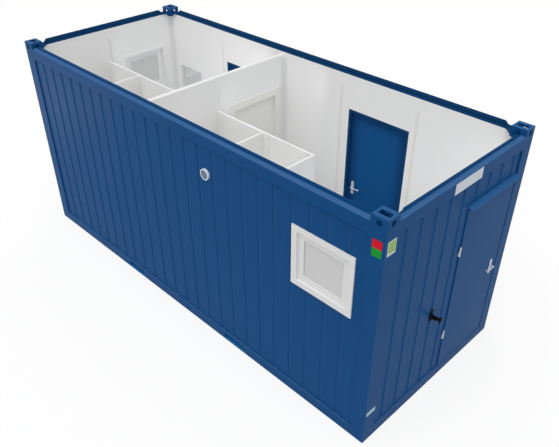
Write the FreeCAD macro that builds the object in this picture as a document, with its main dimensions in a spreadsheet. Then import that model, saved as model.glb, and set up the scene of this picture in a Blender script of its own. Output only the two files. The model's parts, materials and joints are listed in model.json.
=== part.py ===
import FreeCAD, Part
import Sketcher
import math
import os
from types import SimpleNamespace

# Toilet container of the 20-foot size, shown with its roof taken off.
# The origin is at the middle of the underside, +X along the length towards the end wall with the door,
# -Y towards the long wall with the window, +Z up. All sizes are in millimetres.

Vector = FreeCAD.Vector

SIZES = {
    # overall size and corner castings
    "length": 6055,
    "width": 2435,
    "height": 2800,
    "casting_length": 178,
    "casting_width": 162,
    "casting_height": 118,
    "casting_wall": 16,
    "casting_cap": 28,
    "top_opening_length": 124,
    "top_opening_width": 63,
    "side_slot_height": 66,
    "side_slot_width": 58,
    "foot_slot_length": 124,
    "foot_slot_width": 63,
    # corner posts, as wide as the castings
    "post_lip": 70,
    "frame_sheet": 4,
    # base frame
    "base_height": 124,
    "base_flange": 100,
    "foot_flange": 60,
    "cross_width": 50,
    "cross_pitch": 450,
    "fork_width": 352,
    "fork_height": 85,
    "fork_spacing": 2050,
    "fork_floor": 16,
    # roof frame, measured down from the top of the castings
    "roof_rail_drop": 208,
    "ledge_drop": 76,
    "upstand_drop": 20,
    "lining_drop": 92,
    "ledge_width": 50,
    "ledge_rise": 15,
    "upstand_sheet": 8,
    "upstand_stop": 75,
    "gusset_leg": 185,
    "gusset_sheet": 5,
    # floor
    "deck_thickness": 19,
    "covering_thickness": 2,
    # walls, from the outer face of the frame inwards
    "wall_recess": 16,
    "cladding_sheet": 1.5,
    "groove_pitch": 229,
    "groove_mouth": 50,
    "groove_bed": 26,
    "groove_depth": 12,
    "wall_depth": 97.5,
    "lining_board": 10,
    "strip_width": 34,
    "strip_thickness": 3,
    "strip_drop": 235,
    # rooms; the partition stands just right of a joint between two wall panels
    "partition_offset": 59.9,
    "partition_thickness": 60,
    "cubicle_panel": 28,
    "cubicle_height": 2100,
    "corridor_width": 1160,
    "cubicle_door_width": 600,
    "cubicle_floor_gap": 10,
    "left_cubicle_first": 774,
    "left_cubicle_second": 788,
    "right_cubicle_first": 822,
    "right_cubicle_second": 804,
    # entrance doors, placed from the far corner, from the middle of a wall panel and below the roof rail
    "end_door_place": 625.5,
    "side_door_offset": 22.7,
    "door_width": 910,
    "door_drop": 321,
    "door_bottom": 136,
    "door_proud": 12,
    "door_skin": 11.5,
    "door_thickness": 56,
    "door_rebate": 20,
    "door_sheet": 1.0,
    "door_gap": 4,
    "door_stop": 16,
    "jamb_width": 20,
    "sill_rise": 3,
    # partition door, placed from the far wall
    "inner_door_width": 742,
    "inner_door_place": 531.5,
    "inner_door_height": 2030,
    "inner_leaf": 40,
    "casing_width": 78,
    "casing_thickness": 12,
    # hinges and door furniture
    "hinge_height": 120,
    "hinge_low": 497,
    "hinge_high": 1640,
    "knuckle_radius": 9,
    "pin_radius": 5,
    "running_gap": 0.05,
    "clear_gap": 0.5,
    "hinge_plate": 5,
    "hinge_leaf": 30,
    "hinge_wing": 14,
    "handle_height": 1025,
    "handle_inset": 115,
    "handle_reach": 42,
    "lever_length": 118,
    "lever_radius": 8,
    "spindle_radius": 4,
    "lock_height": 1000,
    "lock_inset": 55,
    "lock_radius": 15,
    "hood_width": 926,
    "hood_rise": 9,
    "hood_reach": 58,
    "hood_fall": 16,
    "hood_lip": 12,
    "hood_sheet": 2,
    "holder_place": 331,
    "holder_height": 990,
    "holder_reach": 100,
    "holder_plate_width": 46,
    "holder_plate_height": 160,
    # windows, placed from the right and the far corner and below the roof rail
    "window_width": 772,
    "window_height": 703,
    "window_drop": 327,
    "window_side_place": 681,
    "window_end_place": 652.5,
    "window_flange": 66,
    "window_proud": 14,
    "frame_lap": 44,
    "sash_gap": 3,
    "sash_overlap": 12,
    "sash_thickness": 44,
    "sash_rail": 86,
    "pane_thickness": 24,
    "pane_edge": 10,
    "window_casing": 30,
    "sash_pin": 4,
    "grip_length": 118,
    # vent, placed from the wall between the right cubicles and below the top
    "vent_place": 320,
    "vent_drop": 529,
    "vent_radius": 64,
    "duct_radius": 48,
    "duct_wall": 3,
    "fan_radius": 44,
    "fan_hub": 15,
    "fan_depth": 18,
    "fan_shaft": 4,
    # sanitary fittings
    "pipe_line": 135,
    "waste_height": 85,
    "waste_radius": 55,
    "waste_wall": 3.2,
    "water_height": 335,
    "water_radius": 13,
    "water_wall": 3,
    "stub_length": 45,
    "rose_width": 12,
    "rose_thickness": 8,
    "pipe_clearance": 2,
    "bowl_rim": 400,
    "bowl_length": 470,
    "bowl_width": 360,
    "bowl_back": 200,
    "bowl_wall": 38,
    "bowl_depth": 190,
    "foot_radius": 115,
    "seat_thickness": 20,
    "seat_ring": 62,
    "cistern_width": 380,
    "cistern_depth": 152,
    "cistern_height": 360,
    "cistern_round": 22,
    "button_radius": 25,
    "button_travel": 5,
    "basin_width": 500,
    "basin_depth": 410,
    "basin_height": 150,
    "basin_rim": 850,
    "basin_wall": 20,
    "basin_dish": 150,
    "trap_radius": 17,
    "left_basin_place": 520.5,
    "right_basin_place": 560,
    "mirror_width": 497,
    "mirror_height": 700,
    "mirror_bottom": 1085,
    "mirror_thickness": 6,
    "tap_radius": 21,
    "tap_height": 85,
    "spout_length": 120,
}

doc = FreeCAD.newDocument("toilet_container")
sheet = doc.addObject("Spreadsheet::Sheet", "sizes")


class Size:
    """A length that keeps both its number and the sheet formula that gives it."""

    def __init__(self, number, formula):
        self.number = number
        self.formula = formula

    def __add__(self, other):
        other = as_size(other)
        return Size(self.number + other.number, f"({self.formula} + {other.formula})")

    def __sub__(self, other):
        other = as_size(other)
        return Size(self.number - other.number, f"({self.formula} - {other.formula})")

    def __mul__(self, other):
        other = as_size(other)
        return Size(self.number * other.number, f"({self.formula} * {other.formula})")

    def __truediv__(self, other):
        other = as_size(other)
        return Size(self.number / other.number, f"({self.formula} / {other.formula})")

    def __neg__(self):
        return Size(-self.number, f"(0 - {self.formula})")

    def __radd__(self, other):
        return as_size(other) + self

    def __rsub__(self, other):
        return as_size(other) - self

    def __rmul__(self, other):
        return as_size(other) * self


def as_size(value):
    return value if isinstance(value, Size) else Size(value, repr(value))


def write_sheet():
    """Put every driving size in its own cell and return them by name."""
    named = {}
    for row, (name, number) in enumerate(SIZES.items(), start=1):
        sheet.set(f"A{row}", name.replace("_", " "))
        sheet.set(f"B{row}", str(number))
        sheet.setAlias(f"B{row}", name)
        named[name] = Size(number, f"sizes.{name}")
    doc.recompute()
    return SimpleNamespace(**named)


dim = write_sheet()
nodes = {}

# Planes and levels that several pieces share.
half_length = dim.length / 2
half_width = dim.width / 2
floor_top = dim.base_height + dim.deck_thickness + dim.covering_thickness
wall_top = dim.height - dim.roof_rail_drop
lining_top = dim.height - dim.lining_drop
casting_low = dim.height - dim.casting_height
strip_top = dim.height - dim.strip_drop
board_depth = dim.wall_depth - dim.lining_board
core_depth = dim.wall_recess + dim.cladding_sheet + dim.groove_depth
room_x = half_length - dim.wall_depth
room_y = half_width - dim.wall_depth
half_bay = half_length - dim.casting_length
half_end = half_width - dim.casting_width
PANELS_ALONG = 5
panel_width = 2 * half_bay / PANELS_ALONG
partition_left = dim.partition_offset - panel_width / 2
partition_right = partition_left + dim.partition_thickness
cubicle_face = room_y - dim.corridor_width
cubicle_top = floor_top + dim.cubicle_height
handle_level = floor_top + dim.handle_height
rim_level = floor_top + dim.bowl_rim
door_top = wall_top - dim.door_drop
window_sill = wall_top - dim.window_drop - dim.window_height
vent_level = dim.height - dim.vent_drop
side_window_middle = half_length - dim.window_side_place
end_window_middle = half_width - dim.window_end_place
end_door_middle = half_width - dim.end_door_place
side_door_middle = panel_width + dim.side_door_offset


# Building blocks

def bind(item, name, value):
    item.setExpression(name, as_size(value).formula)


def place(item, x, y, z, rotation=None):
    if rotation is not None:
        item.Placement = FreeCAD.Placement(Vector(0, 0, 0), rotation)
    for letter, value in zip("xyz", (x, y, z)):
        bind(item, f"Placement.Base.{letter}", value)
    return item


def block(name, x, y, z):
    """A box between the given low and high limits."""
    item = doc.addObject("Part::Box", name)
    for side, (low, high) in zip(("Length", "Width", "Height"), (x, y, z)):
        bind(item, side, as_size(high) - low)
    return place(item, x[0], y[0], z[0])


ALONG = {
    "x": FreeCAD.Rotation(Vector(0, 1, 0), 90),
    "y": FreeCAD.Rotation(Vector(1, 0, 0), -90),
    "z": FreeCAD.Rotation(),
}


def rod(name, axis, radius, start, reach):
    """A round bar that starts at a point and runs along a positive axis."""
    item = doc.addObject("Part::Cylinder", name)
    bind(item, "Radius", radius)
    bind(item, "Height", reach)
    return place(item, *start, ALONG[axis])


def ball(name, radius, centre):
    item = doc.addObject("Part::Sphere", name)
    bind(item, "Radius", radius)
    return place(item, *centre)


def fuse(name, *pieces):
    item = doc.addObject("Part::MultiFuse", name)
    item.Shapes = list(pieces)
    item.Refine = True
    return item


def cut(name, base, *tools):
    item = doc.addObject("Part::Cut", name)
    item.Base = base
    item.Tool = tools[0] if len(tools) == 1 else fuse(f"{name}_tools", *tools)
    return item


def mirror(name, source, normal):
    item = doc.addObject("Part::Mirroring", name)
    item.Source = source
    item.Base = Vector(0, 0, 0)
    item.Normal = Vector(*normal)
    return item


def four_corners(name, piece):
    """A piece at the +X -Y corner and its mirror images at the other three."""
    far = mirror(f"{name}_far", piece, (0, 1, 0))
    left = mirror(f"{name}_left", piece, (1, 0, 0))
    far_left = mirror(f"{name}_far_left", far, (1, 0, 0))
    return [piece, far, left, far_left]


def node(label, *pieces):
    """Name a finished sub-part; several equal or welded solids form one group."""
    item = pieces[0]
    if len(pieces) > 1:
        item = doc.addObject("Part::Compound", label)
        item.Links = list(pieces)
    item.Label = label
    nodes[label] = item
    return item


# Sketched bodies

def new_body(name):
    return doc.addObject("PartDesign::Body", name)


def origin_feature(body, role):
    return next(item for item in body.Origin.OriginFeatures if item.Role == role)


def new_sketch(body, name, plane="XY_Plane", offset=None):
    sketch = body.newObject("Sketcher::SketchObject", name)
    sketch.AttachmentSupport = [(origin_feature(body, plane), "")]
    sketch.MapMode = "FlatFace"
    if offset is not None:
        bind(sketch, "AttachmentOffset.Base.z", offset)
    return sketch


def hold_point(sketch, line, u, v):
    """Fix a line's start at (u, v); a plain zero lies on the axis itself."""
    for kind, axis, value in (("DistanceX", -2, u), ("DistanceY", -1, v)):
        if as_size(value).formula == "0":
            sketch.addConstraint(Sketcher.Constraint("PointOnObject", line, 1, axis))
            continue
        number = as_size(value).number
        index = sketch.addConstraint(Sketcher.Constraint(kind, -1, 1, line, 1, number))
        bind(sketch, f"Constraints[{index}]", value)


def outline(sketch, corners):
    """A closed outline of straight edges through the given corners."""
    spots = [Vector(as_size(u).number, as_size(v).number, 0) for u, v in corners]
    first = sketch.GeometryCount
    for here, after in zip(spots, spots[1:] + spots[:1]):
        sketch.addGeometry(Part.LineSegment(here, after), False)
    for step in range(len(spots)):
        following = first + (step + 1) % len(spots)
        sketch.addConstraint(Sketcher.Constraint("Coincident", first + step, 2, following, 1))
    for step, (u, v) in enumerate(corners):
        hold_point(sketch, first + step, u, v)
    return sketch


def circle(sketch, radius):
    """A circle about the sketch's origin."""
    number = as_size(radius).number
    ring = sketch.addGeometry(Part.Circle(Vector(0, 0, 0), Vector(0, 0, 1), number), False)
    sketch.addConstraint(Sketcher.Constraint("Coincident", ring, 3, -1, 1))
    index = sketch.addConstraint(Sketcher.Constraint("Radius", ring, number))
    bind(sketch, f"Constraints[{index}]", radius)
    return sketch


def pad(body, sketch, length):
    feature = body.newObject("PartDesign::Pad", f"{sketch.Name}_pad")
    feature.Profile = sketch
    bind(feature, "Length", length)
    return feature


def pocket(body, sketch, length):
    """A cut upwards from the sketch's plane."""
    feature = body.newObject("PartDesign::Pocket", f"{sketch.Name}_pocket")
    feature.Profile = sketch
    feature.Reversed = True
    bind(feature, "Length", length)
    return feature


def profile_bar(name, length, *loops):
    """A bar whose cross-section is drawn by one outer loop and any inner ones."""
    body = new_body(name)
    sketch = new_sketch(body, f"{name}_section")
    for corners in loops:
        outline(sketch, corners)
    pad(body, sketch, length)
    return body


# Turns that carry a section drawn as (inwards, up) to the near side and to the right end.
NEAR_BAR = FreeCAD.Rotation(Vector(0, 1, 0), Vector(0, 0, 1), Vector(1, 0, 0), "XYZ")
END_BAR = FreeCAD.Rotation(Vector(-1, 0, 0), Vector(0, 0, 1), Vector(0, 1, 0), "XYZ")


# Steel frame

casting_x = (half_length - dim.casting_length, half_length)
casting_y = (-half_width, dim.casting_width - half_width)
casting_middle = (half_length - dim.casting_length / 2, dim.casting_width / 2 - half_width)


def casting_shell(name, low, hollow_low):
    """The outside of a casting at the +X -Y corner and the hollow inside it."""
    wall = dim.casting_wall
    shell = block(f"{name}_shell", casting_x, casting_y, (low, low + dim.casting_height))
    hollow_high = hollow_low + dim.casting_height - wall - dim.casting_cap
    x = (casting_x[0] + wall, casting_x[1] - wall)
    y = (casting_y[0] + wall, casting_y[1] - wall)
    return shell, block(f"{name}_hollow", x, y, (hollow_low, hollow_high))


def top_casting():
    """Open at the top, with an upright slot through all four sides."""
    cap_low = dim.height - dim.casting_cap
    shell, hollow = casting_shell("top_casting", casting_low, casting_low + dim.casting_wall)
    middle_x, middle_y = casting_middle
    half_long, half_wide = dim.top_opening_length / 2, dim.top_opening_width / 2
    opening = block(
        "top_opening", (middle_x - half_long, middle_x + half_long),
        (middle_y - half_wide, middle_y + half_wide), (cap_low, dim.height),
    )
    radius = dim.side_slot_width / 2
    run = (dim.side_slot_height - dim.side_slot_width) / 2
    level = casting_low + dim.casting_height / 2
    start = (middle_x, casting_y[0], level)
    across = slot_through("casting_side_slot", "y", radius, run, start, dim.casting_width, along="z")
    start = (casting_x[0], middle_y, level)
    through = slot_through("casting_end_slot", "x", radius, run, start, dim.casting_length, along="z")
    return cut("top_casting", shell, hollow, opening, *across, *through)


def foot_casting():
    """Closed at the sides, with a long slot in its underside."""
    shell, hollow = casting_shell("foot_casting", as_size(0), dim.casting_cap)
    radius = dim.foot_slot_width / 2
    run = (dim.foot_slot_length - dim.foot_slot_width) / 2
    slot = slot_through(
        "foot_slot", "z", radius, run, (*casting_middle, as_size(0)), dim.casting_cap, along="x",
    )
    return cut("foot_casting", shell, hollow, *slot)


def slot_through(name, axis, radius, run, centre, depth, along):
    """Tools for a slot with round ends: two bars and the block between them."""
    shift = {"x": (run, 0, 0), "z": (0, 0, run)}[along]
    ends = []
    for sign in (-1, 1):
        start = [as_size(c) + sign * as_size(s) for c, s in zip(centre, shift)]
        ends.append(rod(f"{name}_end", axis, radius, start, depth))
    limits = []
    for letter, c in zip("xyz", centre):
        if letter == axis:
            limits.append((as_size(c), as_size(c) + depth))
        else:
            half = run if letter == along else radius
            limits.append((as_size(c) - half, as_size(c) + half))
    return ends + [block(f"{name}_middle", *limits)]


def build_castings():
    top = four_corners("top", top_casting())
    foot = four_corners("foot", foot_casting())
    node("corner_castings", *top, *foot)


def build_posts():
    """Corner posts folded from sheet: an angle with two lips that the wall panels butt against."""
    thick = dim.frame_sheet
    wide, deep, lip = dim.casting_length, dim.casting_width, dim.post_lip
    corners = [
        (0, 0), (wide, 0), (wide, deep), (wide - lip, deep), (wide - lip, deep - thick),
        (wide - thick, deep - thick), (wide - thick, thick), (thick, thick),
        (thick, lip), (0, lip),
    ]
    reach = dim.height - 2 * dim.casting_height
    post = profile_bar("post", reach, corners)
    place(post, casting_x[0], -half_width, dim.casting_height)
    node("corner_posts", *four_corners("post", post))


def base_rail_section():
    thick, tall = dim.frame_sheet, dim.base_height
    top, foot = dim.base_flange, dim.foot_flange
    return [
        (0, 0), (foot, 0), (foot, thick), (thick, thick),
        (thick, tall - thick), (top, tall - thick), (top, tall), (0, tall),
    ]


def fork_limits(sign, grow):
    """Limits of a fork pocket across the container, grown by its sheet where asked."""
    middle = sign * dim.fork_spacing / 2
    half = dim.fork_width / 2 + grow
    low = dim.fork_floor - grow
    return (middle - half, middle + half), (low, low + dim.fork_height + 2 * grow)


def build_base():
    long_reach = dim.length - 2 * dim.casting_length
    long_bar = profile_bar("base_long_bar", long_reach, base_rail_section())
    place(long_bar, dim.casting_length - half_length, -half_width, 0, NEAR_BAR)
    gaps = []
    for sign in (-1, 1):
        x, z = fork_limits(sign, dim.frame_sheet)
        gaps.append(block("fork_gap", x, (-half_width, dim.base_flange - half_width), z))
    near = cut("base_long_rail", long_bar, *gaps)
    end_reach = dim.width - 2 * dim.casting_width
    end_bar = profile_bar("base_end_rail", end_reach, base_rail_section())
    place(end_bar, half_length, dim.casting_width - half_width, 0, END_BAR)
    rails = [near, mirror("base_long_rail_far", near, (0, 1, 0))]
    rails += [end_bar, mirror("base_end_rail_left", end_bar, (1, 0, 0))]
    node("base_frame", *rails, *cross_members())
    pockets = []
    for sign in (-1, 1):
        x, z = fork_limits(sign, dim.frame_sheet)
        tube = block("fork_tube", x, (-half_width, half_width), z)
        x, z = fork_limits(sign, as_size(0))
        pockets.append(cut("fork_pocket", tube, block("fork_way", x, (-half_width, half_width), z)))
    node("fork_pockets", *pockets)


def cross_members():
    """Floor channels between the long rails, left out where a fork pocket takes their place."""
    half = dim.cross_width / 2
    fork_middle = dim.fork_spacing.number / 2
    fork_half = dim.fork_width.number / 2 + dim.cross_width.number
    free_half = half_length.number - dim.base_flange.number - dim.cross_width.number
    count = int(free_half / dim.cross_pitch.number)
    members = []
    for step in range(-count, count + 1):
        middle = step * dim.cross_pitch
        if abs(abs(middle.number) - fork_middle) < fork_half:
            continue
        reach = half_width - dim.base_flange
        x = (middle - half, middle + half)
        bar = block("cross_bar", x, (-reach, reach), (0, dim.base_height))
        thick = dim.frame_sheet
        hollow_z = (thick, dim.base_height - thick)
        hollow = block("cross_hollow", (x[0] + thick, x[1]), (-reach, reach), hollow_z)
        members.append(cut("cross_member", bar, hollow))
    return members


def roof_rail_section():
    """Hollow rail with a sloping ledge outside, drawn from its outer foot."""
    thick = dim.frame_sheet
    ledge = dim.roof_rail_drop - dim.ledge_drop
    crest = ledge + dim.ledge_rise
    inner, shelf = board_depth, dim.ledge_width
    back = shelf + dim.upstand_sheet
    outer_loop = [
        (0, 0), (inner, 0), (inner, ledge), (back, ledge), (back, crest), (shelf, crest), (0, ledge),
    ]
    inner_loop = [
        (thick, thick), (inner - thick, thick), (inner - thick, ledge - thick),
        (shelf, ledge - thick), (shelf, crest - thick), (thick, ledge - thick),
    ]
    return outer_loop, inner_loop


def upstand_section():
    """The strip that stands on the crest of the ledge."""
    crest = dim.roof_rail_drop - dim.ledge_drop + dim.ledge_rise
    top = dim.roof_rail_drop - dim.upstand_drop
    shelf = dim.ledge_width
    back = shelf + dim.upstand_sheet
    return [(shelf, crest), (back, crest), (back, top), (shelf, top)]


def upstand_ends(name, length):
    """Tools that stop the upstand short of both castings, with a slope, drawn in the bar's own frame."""
    crest = dim.roof_rail_drop - dim.ledge_drop + dim.ledge_rise
    top = dim.roof_rail_drop - dim.upstand_drop
    above = 2 * top - crest
    stop = dim.upstand_stop
    slope_end = stop + top - crest
    tools = []
    for base, foot, tip in ((as_size(0), stop, slope_end), (length, length - stop, length - slope_end)):
        body = new_body(f"{name}_wedge")
        sketch = new_sketch(body, f"{name}_wedge_outline", "YZ_Plane", dim.ledge_width - 1)
        outline(sketch, [(crest, base), (crest, foot), (top, tip), (above, tip), (above, base)])
        pad(body, sketch, board_depth)
        tools.append(body)
    return tools


def build_roof_rails():
    pieces = []
    long_reach = dim.length - 2 * dim.casting_length
    end_reach = dim.width - 2 * dim.casting_width
    spans = (
        ("roof_long", long_reach, dim.casting_length - half_length, -half_width, NEAR_BAR, (0, 1, 0)),
        ("roof_end", end_reach, half_length, dim.casting_width - half_width, END_BAR, (1, 0, 0)),
    )
    for name, reach, x, y, turn, other_side in spans:
        rail = profile_bar(f"{name}_rail", reach, *roof_rail_section())
        strip = profile_bar(f"{name}_strip", reach, upstand_section())
        ends = upstand_ends(name, reach)
        for item in (rail, strip, *ends):
            place(item, x, y, wall_top, turn)
        upstand = cut(f"{name}_upstand", strip, *ends)
        pieces += [rail, mirror(f"{name}_rail_other", rail, other_side)]
        pieces += [upstand, mirror(f"{name}_upstand_other", upstand, other_side)]
    node("roof_rails", *pieces, *four_corners("gusset", corner_gusset()))


def corner_gusset():
    """A plate across a roof corner, notched round the casting and level with the rails' inner shelf."""
    body = new_body("gusset")
    leg, thick = dim.gusset_leg, dim.gusset_sheet
    notch_x = leg + board_depth - dim.casting_length
    notch_y = dim.casting_width - board_depth
    notch = [(notch_x, 0), (notch_x, notch_y), (leg, notch_y)]
    plate = outline(new_sketch(body, "gusset_outline"), [(0, 0), *notch, (leg, leg)])
    pad(body, plate, thick)
    low = dim.height - dim.ledge_drop - thick
    return place(body, half_length - board_depth - leg, board_depth - half_width, low)


# Walls. A place on a wall is a run along it, a depth inwards from the frame's outer face, and a level.

class Wall:
    """One face to build on: which axis it runs along, where depth zero lies and which way depth grows."""

    def __init__(self, along, face, inwards):
        self.along = along
        self.face = face
        self.inwards = inwards

    def at(self, run, depth):
        across = self.face + self.inwards * as_size(depth)
        return (run, across) if self.along == "x" else (across, run)

    def limits(self, run, depth):
        ends = [self.face + self.inwards * as_size(d) for d in depth]
        across = tuple(sorted(ends, key=lambda end: end.number))
        return (run, across) if self.along == "x" else (across, run)

    def block(self, name, run, depth, level):
        return block(name, *self.limits(run, depth), level)

    def stand(self, item, run, depth, level):
        """Place an item drawn along +X with +Y inwards so that it covers a run of the wall."""
        turn = {("x", 1): 0, ("x", -1): 180, ("y", -1): 90, ("y", 1): -90}[(self.along, self.inwards)]
        x, y = self.at(run[0] if turn in (0, 90) else run[1], depth)
        return place(item, x, y, level, FreeCAD.Rotation(Vector(0, 0, 1), turn))

    def rod(self, name, radius, run, depth, level):
        """A round bar along the depth, between two depths."""
        near_end, far_end = [self.at(run, d) for d in depth]
        axis = "y" if self.along == "x" else "x"
        index = 1 if self.along == "x" else 0
        start = near_end if near_end[index].number < far_end[index].number else far_end
        return rod(name, axis, radius, (*start, level), as_size(depth[1]) - depth[0])

    def bar(self, name, radius, run, depth, level):
        """A round bar along the wall, between two runs."""
        return rod(name, self.along, radius, (*self.at(run[0], depth), level), as_size(run[1]) - run[0])

    def post(self, name, radius, run, depth, level):
        """An upright round bar between two levels."""
        return rod(name, "z", radius, (*self.at(run, depth), level[0]), as_size(level[1]) - level[0])


near_wall = Wall("x", -half_width, 1)
far_wall = Wall("x", half_width, -1)
right_wall = Wall("y", half_length, -1)
left_wall = Wall("y", -half_length, 1)
inner_wall = Wall("y", partition_left, 1)
front_wall = Wall("x", cubicle_face, -1)


class Opening:
    """A rectangular hole in a wall: its run limits and its levels."""

    def __init__(self, run, level):
        self.run = run
        self.level = level

    def grown(self, by):
        run = (self.run[0] - by, self.run[1] + by)
        return Opening(run, (self.level[0] - by, self.level[1] + by))

    def cutter(self, name, wall, depth):
        return wall.block(name, self.run, depth, self.level)


def door_hole(middle):
    """The hole that an entrance door's frame fills."""
    half = dim.door_width / 2 - dim.door_rebate + dim.door_gap + dim.jamb_width
    head = door_top - dim.door_rebate + dim.door_gap + dim.jamb_width
    return Opening((middle - half, middle + half), (dim.base_height, head))


def window_hole(middle):
    """The hole that a window frame's inner part fills."""
    half = dim.window_width / 2 - dim.frame_lap
    low = window_sill + dim.frame_lap
    high = window_sill + dim.window_height - dim.frame_lap
    return Opening((middle - half, middle + half), (low, high))


side_window = window_hole(side_window_middle)
end_window = window_hole(end_window_middle)
end_door = door_hole(end_door_middle)
right_door = door_hole(side_door_middle)
left_door = door_hole(-side_door_middle)
pipe_lane = room_y - dim.pipe_line


def ribbed_sheet(name, span):
    """A cladding sheet folded into narrow grooves, drawn flat along +X with its outer face at Y zero."""
    body = new_body(name)
    thick = dim.cladding_sheet
    tall = wall_top - dim.base_height
    plate = outline(new_sketch(body, f"{name}_plate"), [(0, 0), (span, 0), (span, thick), (0, thick)])
    pad(body, plate, tall)
    count = math.ceil(span.number / dim.groove_pitch.number - 0.01) - 1
    first = (span - dim.groove_pitch * (count - 1)) / 2
    mouth, bed, depth = dim.groove_mouth / 2, dim.groove_bed / 2, dim.groove_depth
    rib = new_sketch(body, f"{name}_rib")
    outline(rib, [
        (first - mouth - thick, thick), (first + mouth + thick, thick),
        (first + bed + thick, depth + thick), (first - bed - thick, depth + thick),
    ])
    rib_pad = pad(body, rib, tall)
    groove = new_sketch(body, f"{name}_groove")
    outline(groove, [(first - mouth, 0), (first + mouth, 0), (first + bed, depth), (first - bed, depth)])
    groove_cut = pocket(body, groove, tall)
    pattern = body.newObject("PartDesign::LinearPattern", f"{name}_ribs")
    pattern.Originals = [rib_pad, groove_cut]
    pattern.Direction = (origin_feature(body, "X_Axis"), [""])
    bind(pattern, "Length", dim.groove_pitch * (count - 1))
    pattern.Occurrences = count
    body.Tip = pattern
    return body


def clad(name, wall, half_span, holes):
    body = ribbed_sheet(name, 2 * half_span)
    wall.stand(body, (-half_span, half_span), dim.wall_recess, dim.base_height)
    return cut(f"{name}_sheet", body, *holes)


def vent_hole(name, depth):
    return near_wall.rod(name, dim.duct_radius + dim.duct_wall, vent_run, depth, vent_level)


def pipe_holes(name, wall, depth, grow):
    """Holes for the waste and the water pipe."""
    return [
        wall.rod(f"{name}_waste", dim.waste_radius + grow, -pipe_lane, depth, floor_top + dim.waste_height),
        wall.rod(f"{name}_water", dim.water_radius + grow, -pipe_lane, depth, floor_top + dim.water_height),
    ]


def build_cladding():
    depth = (as_size(0), board_depth)
    lip = dim.jamb_width - dim.frame_sheet
    near = clad("near_cladding", near_wall, half_bay, [
        side_window.cutter("near_cladding_window", near_wall, depth),
        vent_hole("near_cladding_vent", depth),
    ])
    far = clad("far_cladding", far_wall, half_bay, [
        right_door.grown(-lip).cutter("far_cladding_right", far_wall, depth),
        left_door.grown(-lip).cutter("far_cladding_left", far_wall, depth),
        sill_cut("far_cladding_right_sill", far_wall, right_door, lip, depth),
        sill_cut("far_cladding_left_sill", far_wall, left_door, lip, depth),
    ])
    right = clad("right_cladding", right_wall, half_end, [
        end_door.grown(-lip).cutter("right_cladding_door", right_wall, depth),
        sill_cut("right_cladding_sill", right_wall, end_door, lip, depth),
    ])
    left = clad("left_cladding", left_wall, half_end, [
        end_window.cutter("left_cladding_window", left_wall, depth),
        *pipe_holes("left_cladding", left_wall, depth, dim.clear_gap),
    ])
    node("long_wall_cladding", near, far)
    node("end_wall_cladding", right, left)


def sill_cut(name, wall, hole, lip, depth):
    """The cladding is open down to the base rail below a door."""
    run = (hole.run[0] + lip, hole.run[1] - lip)
    return wall.block(name, run, depth, (hole.level[0], hole.level[0] + 2 * lip))


def build_insulation():
    """Slabs between the posts, cut to straight pieces round the doors, windows, vent and pipes."""
    depth = (core_depth, board_depth)
    foot, head = dim.base_height, wall_top
    slabs = []

    def slab(wall, run, level):
        slabs.append(wall.block("slab", run, depth, level))

    around = dim.vent_radius
    left_of_vent, right_of_vent = vent_run - around, vent_run + around
    slab(near_wall, (-half_bay, left_of_vent), (foot, head))
    slab(near_wall, (left_of_vent, right_of_vent), (foot, vent_level - around))
    slab(near_wall, (left_of_vent, right_of_vent), (vent_level + around, head))
    slab(near_wall, (right_of_vent, side_window.run[0]), (foot, head))
    slab(near_wall, side_window.run, (foot, side_window.level[0]))
    slab(near_wall, side_window.run, (side_window.level[1], head))
    slab(near_wall, (side_window.run[1], half_bay), (foot, head))
    slab(far_wall, (-half_bay, left_door.run[0]), (foot, head))
    slab(far_wall, (left_door.run[1], right_door.run[0]), (foot, head))
    slab(far_wall, (right_door.run[1], half_bay), (foot, head))
    for hole in (left_door, right_door):
        slab(far_wall, hole.run, (hole.level[1], head))
    slab(right_wall, (-half_end, end_door.run[0]), (foot, head))
    slab(right_wall, end_door.run, (end_door.level[1], head))
    lane_edge = 2 * dim.waste_radius - half_end + dim.waste_radius
    waste = floor_top + dim.waste_height
    water = floor_top + dim.water_height
    lane = (-half_end, lane_edge)
    slab(left_wall, lane, (waste + dim.waste_radius, water - dim.water_radius))
    slab(left_wall, lane, (water + dim.water_radius, head))
    slab(left_wall, (lane_edge, end_window.run[0]), (foot, head))
    slab(left_wall, end_window.run, (foot, end_window.level[0]))
    slab(left_wall, end_window.run, (end_window.level[1], head))
    slab(left_wall, (end_window.run[1], half_end), (foot, head))
    node("wall_insulation", *slabs)


def build_lining():
    """Inner boards notched round the roof corners: long ones from end to end, end ones between."""
    depth = (board_depth, dim.wall_depth)
    level = (floor_top, lining_top)
    through = (as_size(0), 2 * dim.wall_depth)
    casting_room = block("casting_room", casting_x, casting_y, (casting_low, dim.height))
    corners = four_corners("casting_room", casting_room)
    long_run = (-room_x - dim.lining_board, room_x + dim.lining_board)
    end_run = (-room_y, room_y)
    near = cut(
        "near_lining",
        near_wall.block("near_board", long_run, depth, level),
        side_window.cutter("near_lining_window", near_wall, through),
        vent_hole("near_lining_vent", through),
        *corners,
    )
    far = cut(
        "far_lining",
        far_wall.block("far_board", long_run, depth, level),
        left_door.cutter("far_lining_left", far_wall, through),
        right_door.cutter("far_lining_right", far_wall, through),
        *corners,
    )
    right = cut(
        "right_lining",
        right_wall.block("right_board", end_run, depth, level),
        end_door.cutter("right_lining_door", right_wall, through),
        *corners,
    )
    left = cut(
        "left_lining",
        left_wall.block("left_board", end_run, depth, level),
        end_window.cutter("left_lining_window", left_wall, through),
        *pipe_holes("left_lining", left_wall, through, as_size(0)),
        *corners,
    )
    node("wall_lining", near, far, right, left)


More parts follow.
